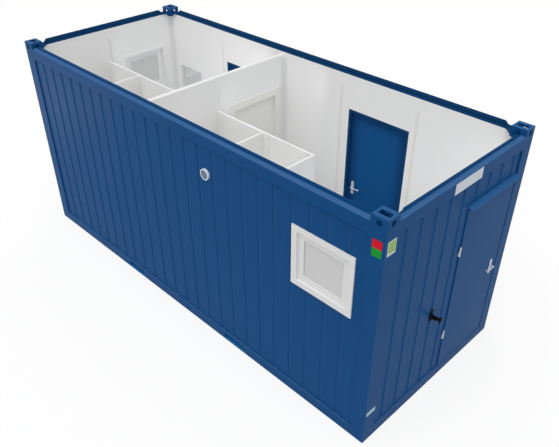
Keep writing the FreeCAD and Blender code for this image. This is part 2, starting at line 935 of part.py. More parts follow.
def build_strips():
    """Cover strips over the joints between the wall panels."""
    half = dim.strip_width / 2
    depth = (dim.wall_depth, dim.wall_depth + dim.strip_thickness)
    level = (floor_top, strip_top)
    above_tank = (rim_level + dim.cistern_height, strip_top)
    strips = []
    for step in (-1.5, -0.5, 0.5, 1.5):
        middle = step * panel_width
        run = (middle - half, middle + half)
        reach = dim.cistern_width.number / 2 + half.number
        behind_tank = any(abs(middle.number - spot.number) < reach for spot in CUBICLES.values())
        strips.append(near_wall.block("strip", run, depth, above_tank if behind_tank else level))
        strips.append(far_wall.block("strip", run, depth, level))
    for wall in (left_wall, right_wall):
        strips.append(wall.block("strip", (-half, half), depth, level))
    node("joint_strips", *strips)


def build_floor():
    deck = (dim.base_height, dim.base_height + dim.deck_thickness)
    inner_x, inner_y = room_x + dim.lining_board, room_y + dim.lining_board
    node("floor_deck", block("floor_deck", (-inner_x, inner_x), (-inner_y, inner_y), deck))
    cover = (deck[1], floor_top)
    node("floor_covering", block("floor_covering", (-inner_x, inner_x), (-inner_y, inner_y), cover))


# Rooms

left_cross = dim.left_cubicle_first - room_x
left_end = left_cross + dim.left_cubicle_second
right_cross = partition_right + dim.right_cubicle_first
right_end = right_cross + dim.right_cubicle_second
half_panel = dim.cubicle_panel / 2
vent_run = right_cross + dim.vent_place

# Middle of each cubicle along the container, from left to right.
CUBICLES = {
    "left_outer": (left_cross - half_panel - room_x) / 2,
    "left_inner": (left_cross + left_end) / 2,
    "right_inner": (partition_right + right_cross - half_panel) / 2,
    "right_outer": (right_cross + right_end) / 2,
}

inner_door_middle = room_y - dim.inner_door_place
inner_door_run = (
    inner_door_middle - dim.inner_door_width / 2,
    inner_door_middle + dim.inner_door_width / 2,
)
inner_door_head = floor_top + dim.inner_door_height


def build_partition():
    depth = (as_size(0), dim.partition_thickness)
    board = inner_wall.block("partition_board", (-room_y, room_y), depth, (floor_top, casting_low))
    gap = dim.door_gap + dim.casing_thickness
    run = (inner_door_run[0] - gap, inner_door_run[1] + gap)
    hole = inner_wall.block("partition_hole", run, depth, (floor_top, inner_door_head + gap))
    pipes = pipe_holes("partition", inner_wall, depth, dim.pipe_clearance)
    node("partition_wall", cut("partition_wall", board, hole, *pipes))


def build_partition_frame():
    """Jamb lining in the partition's hole with a flat casing on both faces."""
    board = dim.casing_thickness
    gap = dim.door_gap
    clear = (inner_door_run[0] - gap, inner_door_run[1] + gap)
    head = inner_door_head + gap
    outer = dim.casing_width
    through = (-board, dim.partition_thickness + board)
    pieces = []
    for depth in ((-board, as_size(0)), (dim.partition_thickness, dim.partition_thickness + board)):
        run = (clear[0] - outer, clear[1] + outer)
        pieces.append(inner_wall.block("casing", run, depth, (floor_top, head + outer)))
    run = (clear[0] - board, clear[1] + board)
    depth = (as_size(0), dim.partition_thickness)
    pieces.append(inner_wall.block("jamb_lining", run, depth, (floor_top, head + board)))
    stop_depth = dim.inner_leaf - board + dim.clear_gap
    rebate = inner_wall.block("partition_rebate", clear, (-board, stop_depth), (floor_top, head))
    way_run = (clear[0] + dim.door_stop, clear[1] - dim.door_stop)
    way = inner_wall.block("partition_way", way_run, through, (floor_top, head - dim.door_stop))
    casings = fuse("partition_casings", *pieces)
    node("partition_door_frame", cut("partition_door_frame", casings, rebate, way))


def cubicle_door_run(middle):
    half = dim.cubicle_door_width / 2
    return middle - half, middle + half


def build_cubicle_panels():
    """Cross walls and the front posts that the cubicle doors hang between."""
    level = (floor_top, cubicle_top)
    depth = (as_size(0), dim.cubicle_panel)
    panels = []
    edges = {name: cubicle_door_run(middle) for name, middle in CUBICLES.items()}
    gap = dim.door_gap
    fronts = (
        (-room_x, edges["left_outer"][0] - gap),
        (edges["left_outer"][1] + gap, edges["left_inner"][0] - gap),
        (edges["left_inner"][1] + gap, left_end + half_panel),
        (partition_right, edges["right_inner"][0] - gap),
        (edges["right_inner"][1] + gap, edges["right_outer"][0] - gap),
        (edges["right_outer"][1] + gap, right_end + half_panel),
    )
    for run in fronts:
        panels.append(front_wall.block("front_post", run, depth, level))
    back = (-room_y, cubicle_face - dim.cubicle_panel)
    for name, middle in (("left_cross", left_cross), ("left_end", left_end), ("right_cross", right_cross)):
        board = block(f"{name}_board", (middle - half_panel, middle + half_panel), back, level)
        face = Wall("y", middle - half_panel, 1)
        holes = pipe_holes(name, face, (as_size(0), dim.cubicle_panel), dim.pipe_clearance)
        panels.append(cut(f"{name}_wall", board, *holes))
    panels.append(block("right_end_wall", (right_end - half_panel, right_end + half_panel), back, level))
    node("cubicle_panels", *panels)


# Doors. A door's hinge sign says which end of its run the hinges are on.

hinges = []


class Door:
    """A leaf that hangs in a wall and swings outwards, with its hinge line and its free edge."""

    def __init__(self, name, wall, run, hinge_sign, faces, axis_depth, edge_gap, seat_depth, wing):
        self.name = name
        self.wall = wall
        self.run = run
        self.sign = hinge_sign
        self.faces = faces
        self.axis_depth = axis_depth
        self.seat_depth = seat_depth
        self.wing = wing
        hinge_edge, free_edge = (run[1], run[0]) if hinge_sign > 0 else (run[0], run[1])
        self.axis = hinge_edge + hinge_sign * as_size(edge_gap)
        self.hinge_edge = hinge_edge
        self.free_edge = free_edge

    def inset(self, distance):
        """A place on the leaf, this far from its free edge."""
        return self.free_edge + self.sign * as_size(distance)

    def span(self, start, reach):
        """Run limits from a start towards the hinge side."""
        end = start + self.sign * as_size(reach)
        return (start, end) if end.number > start.number else (end, start)

    def hang(self, leaf, knuckle):
        """Add two hinges: the lower half with its pin on the wall, the upper half on the leaf."""
        wall = self.wall
        plate = dim.hinge_plate
        arms, bores = [leaf], []
        half = dim.hinge_height / 2
        for rise in (dim.hinge_low, dim.hinge_high):
            middle = floor_top + rise
            low, high = middle - half, middle + half
            upper = (middle + dim.clear_gap, high)
            lower = (low, middle)
            arms.append(wall.post("leaf_knuckle", knuckle, self.axis, self.axis_depth, upper))
            arm_run = self.span(self.axis - self.sign * self.wing, self.wing)
            face = self.faces[0]
            arms.append(wall.block("leaf_plate", arm_run, (face - plate, face), upper))
            bore = dim.pin_radius + dim.running_gap
            bores.append(wall.post("leaf_bore", bore, self.axis, self.axis_depth, upper))
            seat = self.seat_depth
            fixed_run = self.span(self.axis, self.wing)
            hinges.append(fuse(
                "hinge",
                wall.post("fixed_knuckle", knuckle, self.axis, self.axis_depth, lower),
                wall.post("hinge_pin", dim.pin_radius, self.axis, self.axis_depth, (low, high)),
                wall.block("fixed_plate", fixed_run, (seat - plate, seat), lower),
            ))
        return cut(f"{self.name}_hung", fuse(f"{self.name}_leaf", *arms), *bores)


def entrance_frame(name, wall, hole):
    """Steel frame: a ring with a stop for the leaf and a lip that closes the cladding's cut edge."""
    stop_depth = dim.wall_recess - dim.door_proud + dim.door_thickness + dim.clear_gap
    lip = dim.jamb_width - dim.frame_sheet
    ring = hole.cutter(f"{name}_ring", wall, (core_depth, dim.wall_depth))
    collar_run = (hole.run[0] + lip, hole.run[1] - lip)
    collar_level = (hole.level[0], hole.level[1] - lip)
    collar = wall.block(f"{name}_collar", collar_run, (dim.wall_recess, core_depth), collar_level)
    jamb = dim.jamb_width
    sill = floor_top + dim.sill_rise
    rebate_run = (hole.run[0] + jamb, hole.run[1] - jamb)
    rebate_level = (sill, hole.level[1] - jamb)
    rebate = wall.block(f"{name}_rebate", rebate_run, (as_size(0), stop_depth), rebate_level)
    stop = jamb + dim.door_stop
    way_run = (hole.run[0] + stop, hole.run[1] - stop)
    way_level = (sill, hole.level[1] - stop)
    way = wall.block(f"{name}_way", way_run, (as_size(0), 2 * dim.wall_depth), way_level)
    edge_depth = (board_depth, dim.wall_depth)
    floor_edge = wall.block(f"{name}_floor_edge", hole.run, edge_depth, (as_size(0), floor_top))
    return cut(name, fuse(f"{name}_steel", ring, collar), rebate, way, floor_edge)


def lever_handle(name, door, level):
    """Two levers on one spindle; each runs towards the hinges and turns back to the leaf at its tip."""
    wall = door.wall
    run = door.inset(dim.handle_inset)
    tip = run + door.sign * dim.lever_length
    spindle = wall.rod(f"{name}_spindle", dim.spindle_radius, run, door.faces, level)
    radius = dim.lever_radius
    pieces = [spindle]
    for face, out in ((door.faces[0], -1), (door.faces[1], 1)):
        grip = face + out * dim.handle_reach
        start = face + out * dim.clear_gap
        neck = (grip, start) if out < 0 else (start, grip)
        back = grip - out * (dim.handle_reach / 2)
        turn_back = (grip, back) if out < 0 else (back, grip)
        pieces.append(wall.rod("lever_neck", radius * 1.2, run, neck, level))
        pieces.append(wall.bar("lever_grip", radius, door.span(run, dim.lever_length), grip, level))
        pieces.append(wall.rod("lever_return", radius, tip, turn_back, level))
        for spot, size in ((run, radius * 1.2), (tip, radius)):
            pieces.append(ball("lever_bend", size, (*wall.at(spot, grip), level)))
        pieces.append(ball("lever_tip", radius, (*wall.at(tip, back), level)))
        pieces.append(wall.rod("lever_step", dim.spindle_radius, run, sorted_pair(face, start), level))
    node(name, fuse(name, *pieces))


def sorted_pair(one, other):
    return (one, other) if as_size(one).number < as_size(other).number else (other, one)


def spindle_bore(door, level, radius):
    """The hole through a leaf for a spindle."""
    spot = door.inset(dim.handle_inset)
    return door.wall.rod("spindle_bore", radius + dim.running_gap, spot, door.faces, level)


def build_entrance_doors():
    """Outward-opening steel doors: an outer skin that laps the frame and a body that fits in its rebate."""
    face = dim.wall_recess - dim.door_proud
    back = face + dim.door_thickness
    skin = face + dim.door_skin
    knuckle = dim.knuckle_radius
    frames, hoods, holders = [], [], []
    rows = (
        ("end_door", right_wall, end_door_middle, -1, end_door),
        ("left_side_door", far_wall, -side_door_middle, -1, left_door),
        ("right_side_door", far_wall, side_door_middle, 1, right_door),
    )
    for name, wall, middle, sign, hole in rows:
        frames.append(entrance_frame(f"{name}_frame", wall, hole))
        half = dim.door_width / 2
        run = (middle - half, middle + half)
        edge_gap = knuckle + 3 * dim.clear_gap
        door = Door(
            name, wall, run, sign, (face, back), face, edge_gap, dim.wall_recess, dim.hinge_wing,
        )
        body_half = half - dim.door_rebate
        sill = floor_top + dim.sill_rise + dim.door_gap
        body_level = (sill, door_top - dim.door_rebate)
        outer = wall.block(f"{name}_skin", run, (face, skin), (dim.door_bottom, door_top))
        body_run = (middle - body_half, middle + body_half)
        body = wall.block(f"{name}_body", body_run, (skin, back), body_level)
        sheet_gap = dim.door_sheet
        core_run = (body_run[0] + sheet_gap, body_run[1] - sheet_gap)
        core_level = (body_level[0] + sheet_gap, body_level[1] - sheet_gap)
        core = wall.block(f"{name}_core", core_run, (face + sheet_gap, back - sheet_gap), core_level)
        keep = dim.handle_inset / 3
        spot = door.inset(dim.handle_inset)
        lock_case = wall.block(
            f"{name}_lock_case", (spot - keep, spot + keep), (face, back),
            (handle_level - 2 * keep, handle_level + keep),
        )
        tray = cut(f"{name}_tray", fuse(f"{name}_slab", outer, body), core)
        shell = fuse(f"{name}_shell", tray, lock_case)
        hung = door.hang(shell, knuckle)
        node(name, cut(name, hung, spindle_bore(door, handle_level, dim.spindle_radius)))
        lever_handle(f"{name}_handle", door, handle_level)
        hoods.append(rain_hood(f"{name}_hood", wall, middle))
        holders.append(door_holder(f"{name}_holder", door))
    node("entrance_door_frames", *frames)
    node("rain_hoods", *hoods)
    node("door_holders", *holders)


def rain_hood(name, wall, middle):
    """A folded sheet over a door: a back flange, a sloping top and a drip lip, drawn as (outwards, up)."""
    thick = dim.hood_sheet
    reach, fall, lip = dim.hood_reach, dim.hood_fall, dim.hood_lip
    foot = fall + lip
    corners = [
        (0, foot - fall), (thick, foot - fall), (thick, foot - thick), (reach - thick, lip - thick),
        (reach - thick, 0), (reach, 0), (reach, lip), (thick, foot), (thick, foot + lip), (0, foot + lip),
    ]
    bar = profile_bar(name, dim.hood_width, corners)
    level = door_top + dim.hood_rise
    half = dim.hood_width / 2
    if wall is right_wall:
        turn = FreeCAD.Rotation(Vector(1, 0, 0), Vector(0, 0, 1), Vector(0, -1, 0), "XYZ")
        start = middle + half
    else:
        turn = FreeCAD.Rotation(Vector(0, 1, 0), Vector(0, 0, 1), Vector(1, 0, 0), "XYZ")
        start = middle - half
    x, y = wall.at(start, dim.wall_recess)
    return place(bar, x, y, level, turn)


def door_holder(name, door):
    """A rubber-tipped arm on the wall that stops and holds the open door."""
    wall = door.wall
    run = door.axis + door.sign * dim.holder_place
    level = floor_top + dim.holder_height
    wide, tall = dim.holder_plate_width / 2, dim.holder_plate_height / 2
    plate = dim.frame_sheet
    face = dim.wall_recess
    arm = wide / 2
    tip_tall = tall / 3
    reach = dim.holder_reach
    rows = (
        ("plate", wide, (face - plate, face), (level - tall, level + tall)),
        ("arm", arm, (-reach, face), (level - arm, level + arm)),
        ("tip", wide, (-reach, arm - reach), (level - tip_tall, level + tip_tall)),
        ("web", plate, (-reach / 2, face), (level - tall / 2, level)),
    )
    pieces = []
    for part, half, depth, height in rows:
        pieces.append(wall.block(f"{name}_{part}", (run - half, run + half), depth, height))
    return fuse(name, *pieces)


def build_partition_door():
    faces = (-dim.casing_thickness, dim.inner_leaf - dim.casing_thickness)
    level = (floor_top + dim.cubicle_floor_gap, inner_door_head)
    edge_gap = dim.door_gap / 2
    axis_depth = faces[0] - dim.knuckle_radius - dim.clear_gap
    name = "partition_door"
    door = Door(
        name, inner_wall, inner_door_run, 1, faces, axis_depth, edge_gap, faces[0], dim.hinge_leaf,
    )
    leaf = inner_wall.block("partition_door_board", inner_door_run, faces, level)
    hung = door.hang(leaf, dim.knuckle_radius)
    bore = spindle_bore(door, handle_level, dim.spindle_radius)
    node(name, cut(name, hung, bore))
    lever_handle(f"{name}_handle", door, handle_level)


def build_cubicle_doors():
    faces = (as_size(0), dim.cubicle_panel)
    level = (floor_top + dim.cubicle_floor_gap, cubicle_top)
    lock_level = floor_top + dim.lock_height
    knuckle = dim.knuckle_radius
    for name, middle in CUBICLES.items():
        run = cubicle_door_run(middle)
        label = f"{name}_cubicle_door"
        sign = 1 if name.startswith("left") else -1
        axis_depth = -knuckle - dim.clear_gap
        edge_gap = dim.door_gap / 2
        door = Door(
            label, front_wall, run, sign, faces, axis_depth, edge_gap, as_size(0), dim.hinge_leaf,
        )
        leaf = front_wall.block(f"{label}_board", run, faces, level)
        hung = door.hang(leaf, knuckle)
        spot = door.inset(dim.lock_inset)
        radius = dim.spindle_radius + dim.running_gap
        bore = front_wall.rod(f"{label}_bore", radius, spot, faces, lock_level)
        node(label, cut(label, hung, bore))
        lock_knob(f"{name}_lock_knob", spot, faces, lock_level)


def lock_knob(name, run, faces, level):
    """An indicator disc outside and a turning grip inside, on one spindle."""
    gap = dim.clear_gap
    radius = dim.lock_radius
    back = faces[1] + gap
    front = faces[0] - gap
    disc = front_wall.rod(f"{name}_disc", radius, run, (front - radius / 2, front), level)
    spindle = front_wall.rod(f"{name}_spindle", dim.spindle_radius, run, (front, back), level)
    rose = front_wall.rod(f"{name}_rose", radius, run, (back, back + radius / 3), level)
    grip = front_wall.block(
        f"{name}_grip", (run - radius / 4, run + radius / 4), (back, back + radius * 1.6),
        (level - radius, level + radius),
    )
    coin_slot = front_wall.block(
        f"{name}_slot", (run - radius / 2, run + radius / 2),
        (front - radius / 2, front - radius / 4), (level - radius / 8, level + radius / 8),
    )
    node(name, cut(name, fuse(f"{name}_metal", disc, spindle, rose, grip), coin_slot))


# Windows

sash_back = core_depth + dim.clear_gap + dim.sash_thickness


def window_parts(name, wall, middle, hole):
    """An outer frame, a bottom-hung sash that tilts into the room, its pane and its handle."""
    half = dim.window_width / 2
    casing = Opening((middle - half, middle + half), (window_sill, window_sill + dim.window_height))
    proud = dim.wall_recess - dim.window_proud
    face_ring = casing.cutter(f"{name}_face", wall, (proud, dim.wall_recess))
    inner_ring = hole.cutter(f"{name}_inner", wall, (dim.wall_recess, dim.wall_depth))
    trim_depth = (dim.wall_depth, dim.wall_depth + dim.casing_thickness)
    trim = hole.grown(dim.window_casing).cutter(f"{name}_trim", wall, trim_depth)
    sight = casing.grown(-dim.window_flange)
    sight_way = sight.cutter(f"{name}_sight", wall, (proud, core_depth))
    seat = sight.grown(dim.sash_overlap)
    seat_way = seat.cutter(f"{name}_seat", wall, (core_depth, 2 * dim.wall_depth))
    pin_level = seat.level[0] + dim.sash_gap + 1.5 * dim.sash_pin
    pin_depth = sash_back - 1.5 * dim.sash_pin
    sockets = []
    for start in (seat.run[0] - 2 * dim.sash_pin, seat.run[1]):
        bore = dim.sash_pin + dim.running_gap
        limits = (start, start + 2 * dim.sash_pin)
        sockets.append(wall.bar(f"{name}_socket", bore, limits, pin_depth, pin_level))
    body = fuse(f"{name}_pvc", face_ring, inner_ring, trim)
    frame = cut(f"{name}_frame", body, sight_way, seat_way, *sockets)

    sash = seat.grown(-dim.sash_gap)
    depth = (sash_back - dim.sash_thickness, sash_back)
    rail = dim.sash_rail
    light = sash.grown(-rail)
    pane_seat = light.grown(dim.pane_edge)
    pane_depth = (depth[1] - dim.pane_thickness - dim.pane_edge, depth[1] - dim.pane_edge)
    slab = sash.cutter(f"{name}_slab", wall, depth)
    pins = []
    for start in (sash.run[0] - dim.sash_gap - dim.sash_pin, sash.run[1]):
        limits = (start, start + dim.sash_gap + dim.sash_pin)
        pins.append(wall.bar(f"{name}_pin", dim.sash_pin, limits, pin_depth, pin_level))
    grip_run = middle
    grip_level = sash.level[1] - rail / 2
    spindle = dim.spindle_radius
    spindle_depth = (depth[1] - dim.pane_thickness, depth[1])
    bore = wall.rod(f"{name}_bore", spindle + dim.running_gap, grip_run, spindle_depth, grip_level)
    node(f"{name}_sash", cut(
        f"{name}_sash", fuse(f"{name}_slab_pins", slab, *pins),
        light.cutter(f"{name}_light", wall, depth),
        pane_seat.cutter(f"{name}_pane_seat", wall, (pane_depth[0], depth[1])),
        bore,
    ))
    node(f"{name}_pane", pane_seat.cutter(f"{name}_pane", wall, pane_depth))
    window_handle(f"{name}_handle", wall, grip_run, depth[1], grip_level, spindle_depth)
    return frame


def window_handle(name, wall, run, face, level, spindle_depth):
    """A short lever on the sash's top rail that points down when the window is shut."""
    gap = dim.clear_gap
    radius = dim.lever_radius
    stand = face + 3 * radius
    neck = wall.rod(f"{name}_neck", radius, run, (face + gap, stand), level)
    spindle = wall.rod(f"{name}_spindle", dim.spindle_radius, run, (spindle_depth[0], face + gap), level)
    grip = wall.block(
        f"{name}_grip", (run - radius, run + radius), (stand - radius, stand),
        (level - dim.grip_length, level + radius),
    )
    node(name, fuse(name, spindle, neck, grip))


def build_windows():
    near = window_parts("side_window", near_wall, side_window_middle, side_window)
    left = window_parts("end_window", left_wall, end_window_middle, end_window)
    node("window_frames", near, left)


# Ventilation

def build_vent():
    wall = near_wall
    run, level = vent_run, vent_level
    duct, skin = dim.duct_radius, dim.duct_wall
    outer = duct + skin
    proud = dim.wall_recess - 2 * dim.door_proud
    back = dim.wall_depth + dim.casing_thickness / 2
    flange = wall.rod("vent_flange", dim.vent_radius, run, (proud, dim.wall_recess), level)
    tube = wall.rod("vent_tube", outer, run, (dim.wall_recess, back), level)
    rim = wall.rod("vent_rim", dim.vent_radius, run, (dim.wall_depth, back), level)
    way = wall.rod("vent_way", duct, run, (proud, back), level)
    shell = cut("vent_shell", fuse("vent_solid", flange, tube, rim), way)
    slats = []
    pitch = duct / 3
    for step in (-2, -1, 0, 1, 2):
        middle = level + step * pitch
        reach = (duct.number ** 2 - (step * pitch.number) ** 2) ** 0.5 / duct.number * duct + skin / 2
        slats.append(wall.block(
            "vent_slat", (run - reach, run + reach), (proud + skin, proud + 3 * skin),
            (middle - skin, middle + skin),
        ))
    fan_face = core_depth
    motor_face = fan_face + dim.fan_depth + 2 * dim.clear_gap
    motor = wall.rod("vent_motor", dim.fan_hub, run, (motor_face, back), level)
    shaft = wall.rod("vent_shaft", dim.fan_shaft, run, (fan_face, motor_face), level)
    struts = []
    for limits, height in (((run - duct - 1, run + duct + 1), (level - skin, level + skin)),
                           ((run - skin, run + skin), (level - duct - 1, level + duct + 1))):
        struts.append(wall.block("vent_strut", limits, (motor_face + skin, motor_face + 3 * skin), height))
    node("vent_housing", fuse("vent_housing", shell, *slats, motor, shaft, *struts))

    body = new_body("fan_impeller")
    hub = new_sketch(body, "fan_hub_outline")
    circle(hub, dim.fan_hub)
    circle(hub, dim.fan_shaft + dim.running_gap)
    pad(body, hub, dim.fan_depth)
    blade = new_sketch(body, "fan_blade_outline", "XZ_Plane")
    lean, thick = dim.fan_depth / 2, dim.duct_wall / 2
    outline(blade, [
        (as_size(1), as_size(1)), (1 + thick, as_size(1)),
        (1 + thick + lean, dim.fan_depth - 1), (1 + lean, dim.fan_depth - 1),
    ])
    blade_pad = body.newObject("PartDesign::Pad", "fan_blade")
    blade_pad.Profile = blade
    blade_pad.Type = 0
    blade_pad.Reversed = True
    bind(blade_pad, "Length", dim.fan_radius)
    bore_sketch = new_sketch(body, "fan_bore")
    circle(bore_sketch, dim.fan_shaft + dim.running_gap)
    blades = body.newObject("PartDesign::PolarPattern", "fan_blades")
    blades.Originals = [blade_pad]
    blades.Axis = (origin_feature(body, "Z_Axis"), [""])
    blades.Angle = 360
    blades.Occurrences = 7
    body.Tip = blades
    pocket(body, bore_sketch, dim.fan_depth)
    x, y = wall.at(run, fan_face)
    place(body, x, y, level, FreeCAD.Rotation(Vector(1, 0, 0), -90))
    node("fan_impeller", body)


# Sanitary fittings

def half_egg(name, across, along, deep, centre):
    """The lower half of an egg shape: the outside or the inside of a bowl."""
    item = doc.addObject("Part::Ellipsoid", name)
    bind(item, "Radius1", deep)
    bind(item, "Radius2", across)
    bind(item, "Radius3", along)
    item.Angle1 = -90
    item.Angle2 = 0
    return place(item, *centre)


def oval_plate(name, across, along, thick, centre):
    """A flat oval with its longer axis along Y."""
    edge = doc.addObject("Part::Ellipse", f"{name}_edge")
    bind(edge, "MajorRadius", along)
    bind(edge, "MinorRadius", across)
    place(edge, *centre, FreeCAD.Rotation(Vector(0, 0, 1), 90))
    item = doc.addObject("Part::Extrusion", name)
    item.Base = edge
    item.DirMode = "Custom"
    item.Dir = Vector(0, 0, 1)
    item.Solid = True
    bind(item, "LengthFwd", thick)
    return item


seat_line = dim.bowl_back + dim.seat_thickness - room_y


def build_toilets():
    bowls, cisterns = [], []
    half_bowl = dim.bowl_length / 2
    middle_y = dim.bowl_back + half_bowl - room_y
    for name, middle in CUBICLES.items():
        centre = (middle, middle_y, rim_level)
        egg = half_egg(f"{name}_egg", dim.bowl_width / 2, half_bowl, dim.bowl_rim * 0.72, centre)
        foot = doc.addObject("Part::Cone", f"{name}_foot")
        bind(foot, "Radius1", dim.foot_radius)
        bind(foot, "Radius2", dim.foot_radius * 0.8)
        bind(foot, "Height", dim.bowl_rim * 0.7)
        place(foot, middle, middle_y - half_bowl / 3, floor_top)
        half_shelf = dim.cistern_width / 2 - dim.cistern_round
        shelf_y = (-room_y, middle_y - half_bowl / 2)
        shelf_low = floor_top + dim.water_height + 2 * dim.water_radius
        shelf_x = (middle - half_shelf, middle + half_shelf)
        shelf = block(f"{name}_shelf", shelf_x, shelf_y, (shelf_low, rim_level))
        spigot_start = -pipe_lane + dim.waste_radius * 0.9
        spigot_level = floor_top + dim.waste_height
        spigot_reach = middle_y - half_bowl / 3 - spigot_start
        spigot_spot = (middle, spigot_start, spigot_level)
        spigot = rod(f"{name}_spigot", "y", dim.waste_radius * 0.6, spigot_spot, spigot_reach)
        wall_in = dim.bowl_wall
        hollow = half_egg(
            f"{name}_hollow", dim.bowl_width / 2 - wall_in, half_bowl - wall_in, dim.bowl_depth, centre,
        )
        pipe_gap = rod(
            f"{name}_pipe_gap", "x", dim.waste_radius + dim.clear_gap / 5,
            (middle - dim.bowl_width, -pipe_lane, spigot_level), 2 * dim.bowl_width,
        )
        hinge = toilet_seat(f"{name}_toilet_seat", middle, middle_y, half_bowl)
        outside = fuse(f"{name}_outside", egg, foot, shelf, spigot, *hinge)
        bowls.append(cut(f"{name}_bowl", outside, hollow, pipe_gap))
        cisterns.append(cistern(name, middle))
    node("toilet_bowls", *bowls)
    node("toilet_cisterns", *cisterns)


def rounded_block(name, wide, deep, tall, radius, round_top=False):
    """A block with its two front corners rounded, drawn along +X with its back on Y zero."""
    body = new_body(name)
    corners = [(0, 0), (wide, 0), (wide, deep), (0, deep)]
    solid = pad(body, outline(new_sketch(body, f"{name}_outline"), corners), tall)
    doc.recompute()
    edges = []
    for index, edge in enumerate(solid.Shape.Edges, start=1):
        middle = edge.CenterOfMass
        upright = abs(edge.tangentAt(edge.FirstParameter).z) > 0.9
        in_front = middle.y > deep.number - 1
        if in_front and (upright or (round_top and middle.z > tall.number - 1)):
            edges.append(f"Edge{index}")
    rounded = body.newObject("PartDesign::Fillet", f"{name}_round")
    rounded.Base = (solid, edges)
    bind(rounded, "Radius", radius)
    return body


def cistern(name, middle):
    """A tank against the wall with a round well for the flush button in its top."""
    wide, deep, tall = dim.cistern_width, dim.cistern_depth, dim.cistern_height
    body = rounded_block(f"{name}_tank", wide, deep, tall, dim.cistern_round, round_top=True)
    near_wall.stand(body, (middle - wide / 2, middle + wide / 2), dim.wall_depth, rim_level)
    top = rim_level + tall
    centre_y = deep / 2 - room_y
    well_radius = dim.button_radius
    floor_of_well = top - 3 * dim.button_travel
    well = rod(f"{name}_well", "z", well_radius, (middle, centre_y, floor_of_well), 3 * dim.button_travel)
    cap_radius = well_radius - dim.clear_gap / 2
    cap_low = floor_of_well + 1.2 * dim.button_travel
    cap = rod(f"{name}_cap", "z", cap_radius, (middle, centre_y, cap_low), 2.2 * dim.button_travel)
    half_line = block(
        f"{name}_cap_line", (middle - cap_radius, middle + cap_radius),
        (centre_y - dim.clear_gap, centre_y + dim.clear_gap),
        (cap_low + 2 * dim.button_travel, cap_low + 3 * dim.button_travel),
    )
    node(f"{name}_flush_button", cut(f"{name}_flush_button", cap, half_line))
    return cut(f"{name}_cistern", body, well)


def toilet_seat(name, middle, middle_y, half_bowl):
    """An oval ring, cut straight in front of its hinge lugs, that lies on the rim and lifts about a pin."""
    thick = dim.seat_thickness
    low = rim_level + dim.clear_gap
    across, along = dim.bowl_width / 2, half_bowl
    ring = dim.seat_ring
    centre = (middle, middle_y, low)
    plate = oval_plate(f"{name}_plate", across, along, thick, centre)
    hole = oval_plate(f"{name}_hole", across - ring, along - ring, thick, centre)
    behind = block(
        f"{name}_behind", (middle - across, middle + across),
        (middle_y - along - 1, seat_line + 0.75 * thick), (low, low + thick),
    )
    ring_board = cut(f"{name}_ring", plate, hole, behind)
    pin_level = low + thick / 2
    half_ear = across / 2
    ear = block(
        f"{name}_ear", (middle - half_ear, middle + half_ear), (seat_line, middle_y - along + ring),
        (low, low + thick),
    )
    pin_start = (middle - half_ear, seat_line, pin_level)
    knuckle = rod(f"{name}_knuckle", "x", thick / 2, pin_start, 2 * half_ear)
    bore = dim.pin_radius + dim.running_gap
    pin_way = rod(f"{name}_pin_way", "x", bore, pin_start, 2 * half_ear)
    node(name, cut(name, fuse(f"{name}_board", ring_board, ear, knuckle), pin_way))
    lugs = []
    for start in (middle - half_ear - thick - dim.clear_gap, middle + half_ear + dim.clear_gap):
        lug_y = (seat_line - thick / 2, seat_line + thick / 2)
        lugs.append(block(f"{name}_lug", (start, start + thick), lug_y, (rim_level, low + thick)))
    reach = half_ear + thick
    pin = rod(f"{name}_pin", "x", dim.pin_radius, (middle - reach, seat_line, pin_level), 2 * reach)
    return lugs + [pin]


def build_pipes(traps):
    """Waste and water pipes along the near wall, with stubs through the left end wall for the site."""
    start = -half_length - dim.stub_length + dim.wall_recess
    finish = CUBICLES["right_outer"] + 2 * dim.waste_radius
    pipes = []
    for radius, skin, rise in (
        (dim.waste_radius, dim.waste_wall, dim.waste_height),
        (dim.water_radius, dim.water_wall, dim.water_height),
    ):
        spot = (start, -pipe_lane, floor_top + rise)
        solid = rod("pipe", "x", radius, spot, finish - start)
        way = rod("pipe_way", "x", radius - skin, spot, finish - start - skin)
        rose_depth = (dim.wall_recess - dim.rose_thickness, dim.wall_recess)
        rose = left_wall.rod("pipe_rose", radius + dim.rose_width, -pipe_lane, rose_depth, spot[2])
        pipes.append(cut("service_pipe", fuse("pipe_and_rose", solid, rose), way))
    node("service_pipes", *pipes, *traps)


basin_rim_level = floor_top + dim.basin_rim


def wash_basin(name, wall, middle):
    """A wall-hung basin: a slab with rounded front corners, a dished bowl and a tap deck behind it."""
    half = dim.basin_width / 2
    rim = basin_rim_level
    thick = dim.basin_height / 3
    slab = rounded_block(f"{name}_slab", dim.basin_width, dim.basin_depth, thick, 2 * dim.basin_wall)
    wall.stand(slab, (middle - half, middle + half), dim.wall_depth, rim - thick)
    dish_depth = dim.wall_depth + dim.basin_depth - dim.basin_dish - dim.basin_wall
    centre = (*wall.at(middle, dish_depth), rim)
    across, along = half - 2 * dim.basin_wall, dim.basin_dish
    deep = dim.basin_height - dim.basin_wall
    grow = dim.basin_wall * 0.8
    if wall.along == "x":
        outside = half_egg(f"{name}_outside", across + grow, along + grow, dim.basin_height, centre)
        inside = half_egg(f"{name}_inside", across, along, deep, centre)
    else:
        outside = half_egg(f"{name}_outside", along + grow, across + grow, dim.basin_height, centre)
        inside = half_egg(f"{name}_inside", along, across, deep, centre)
    low = rim - dim.basin_height
    drain = wall.post(f"{name}_drain", dim.trap_radius, middle, dish_depth, (low - 1, rim - deep / 2))
    return cut(name, fuse(f"{name}_ceramic", slab, outside), inside, drain)


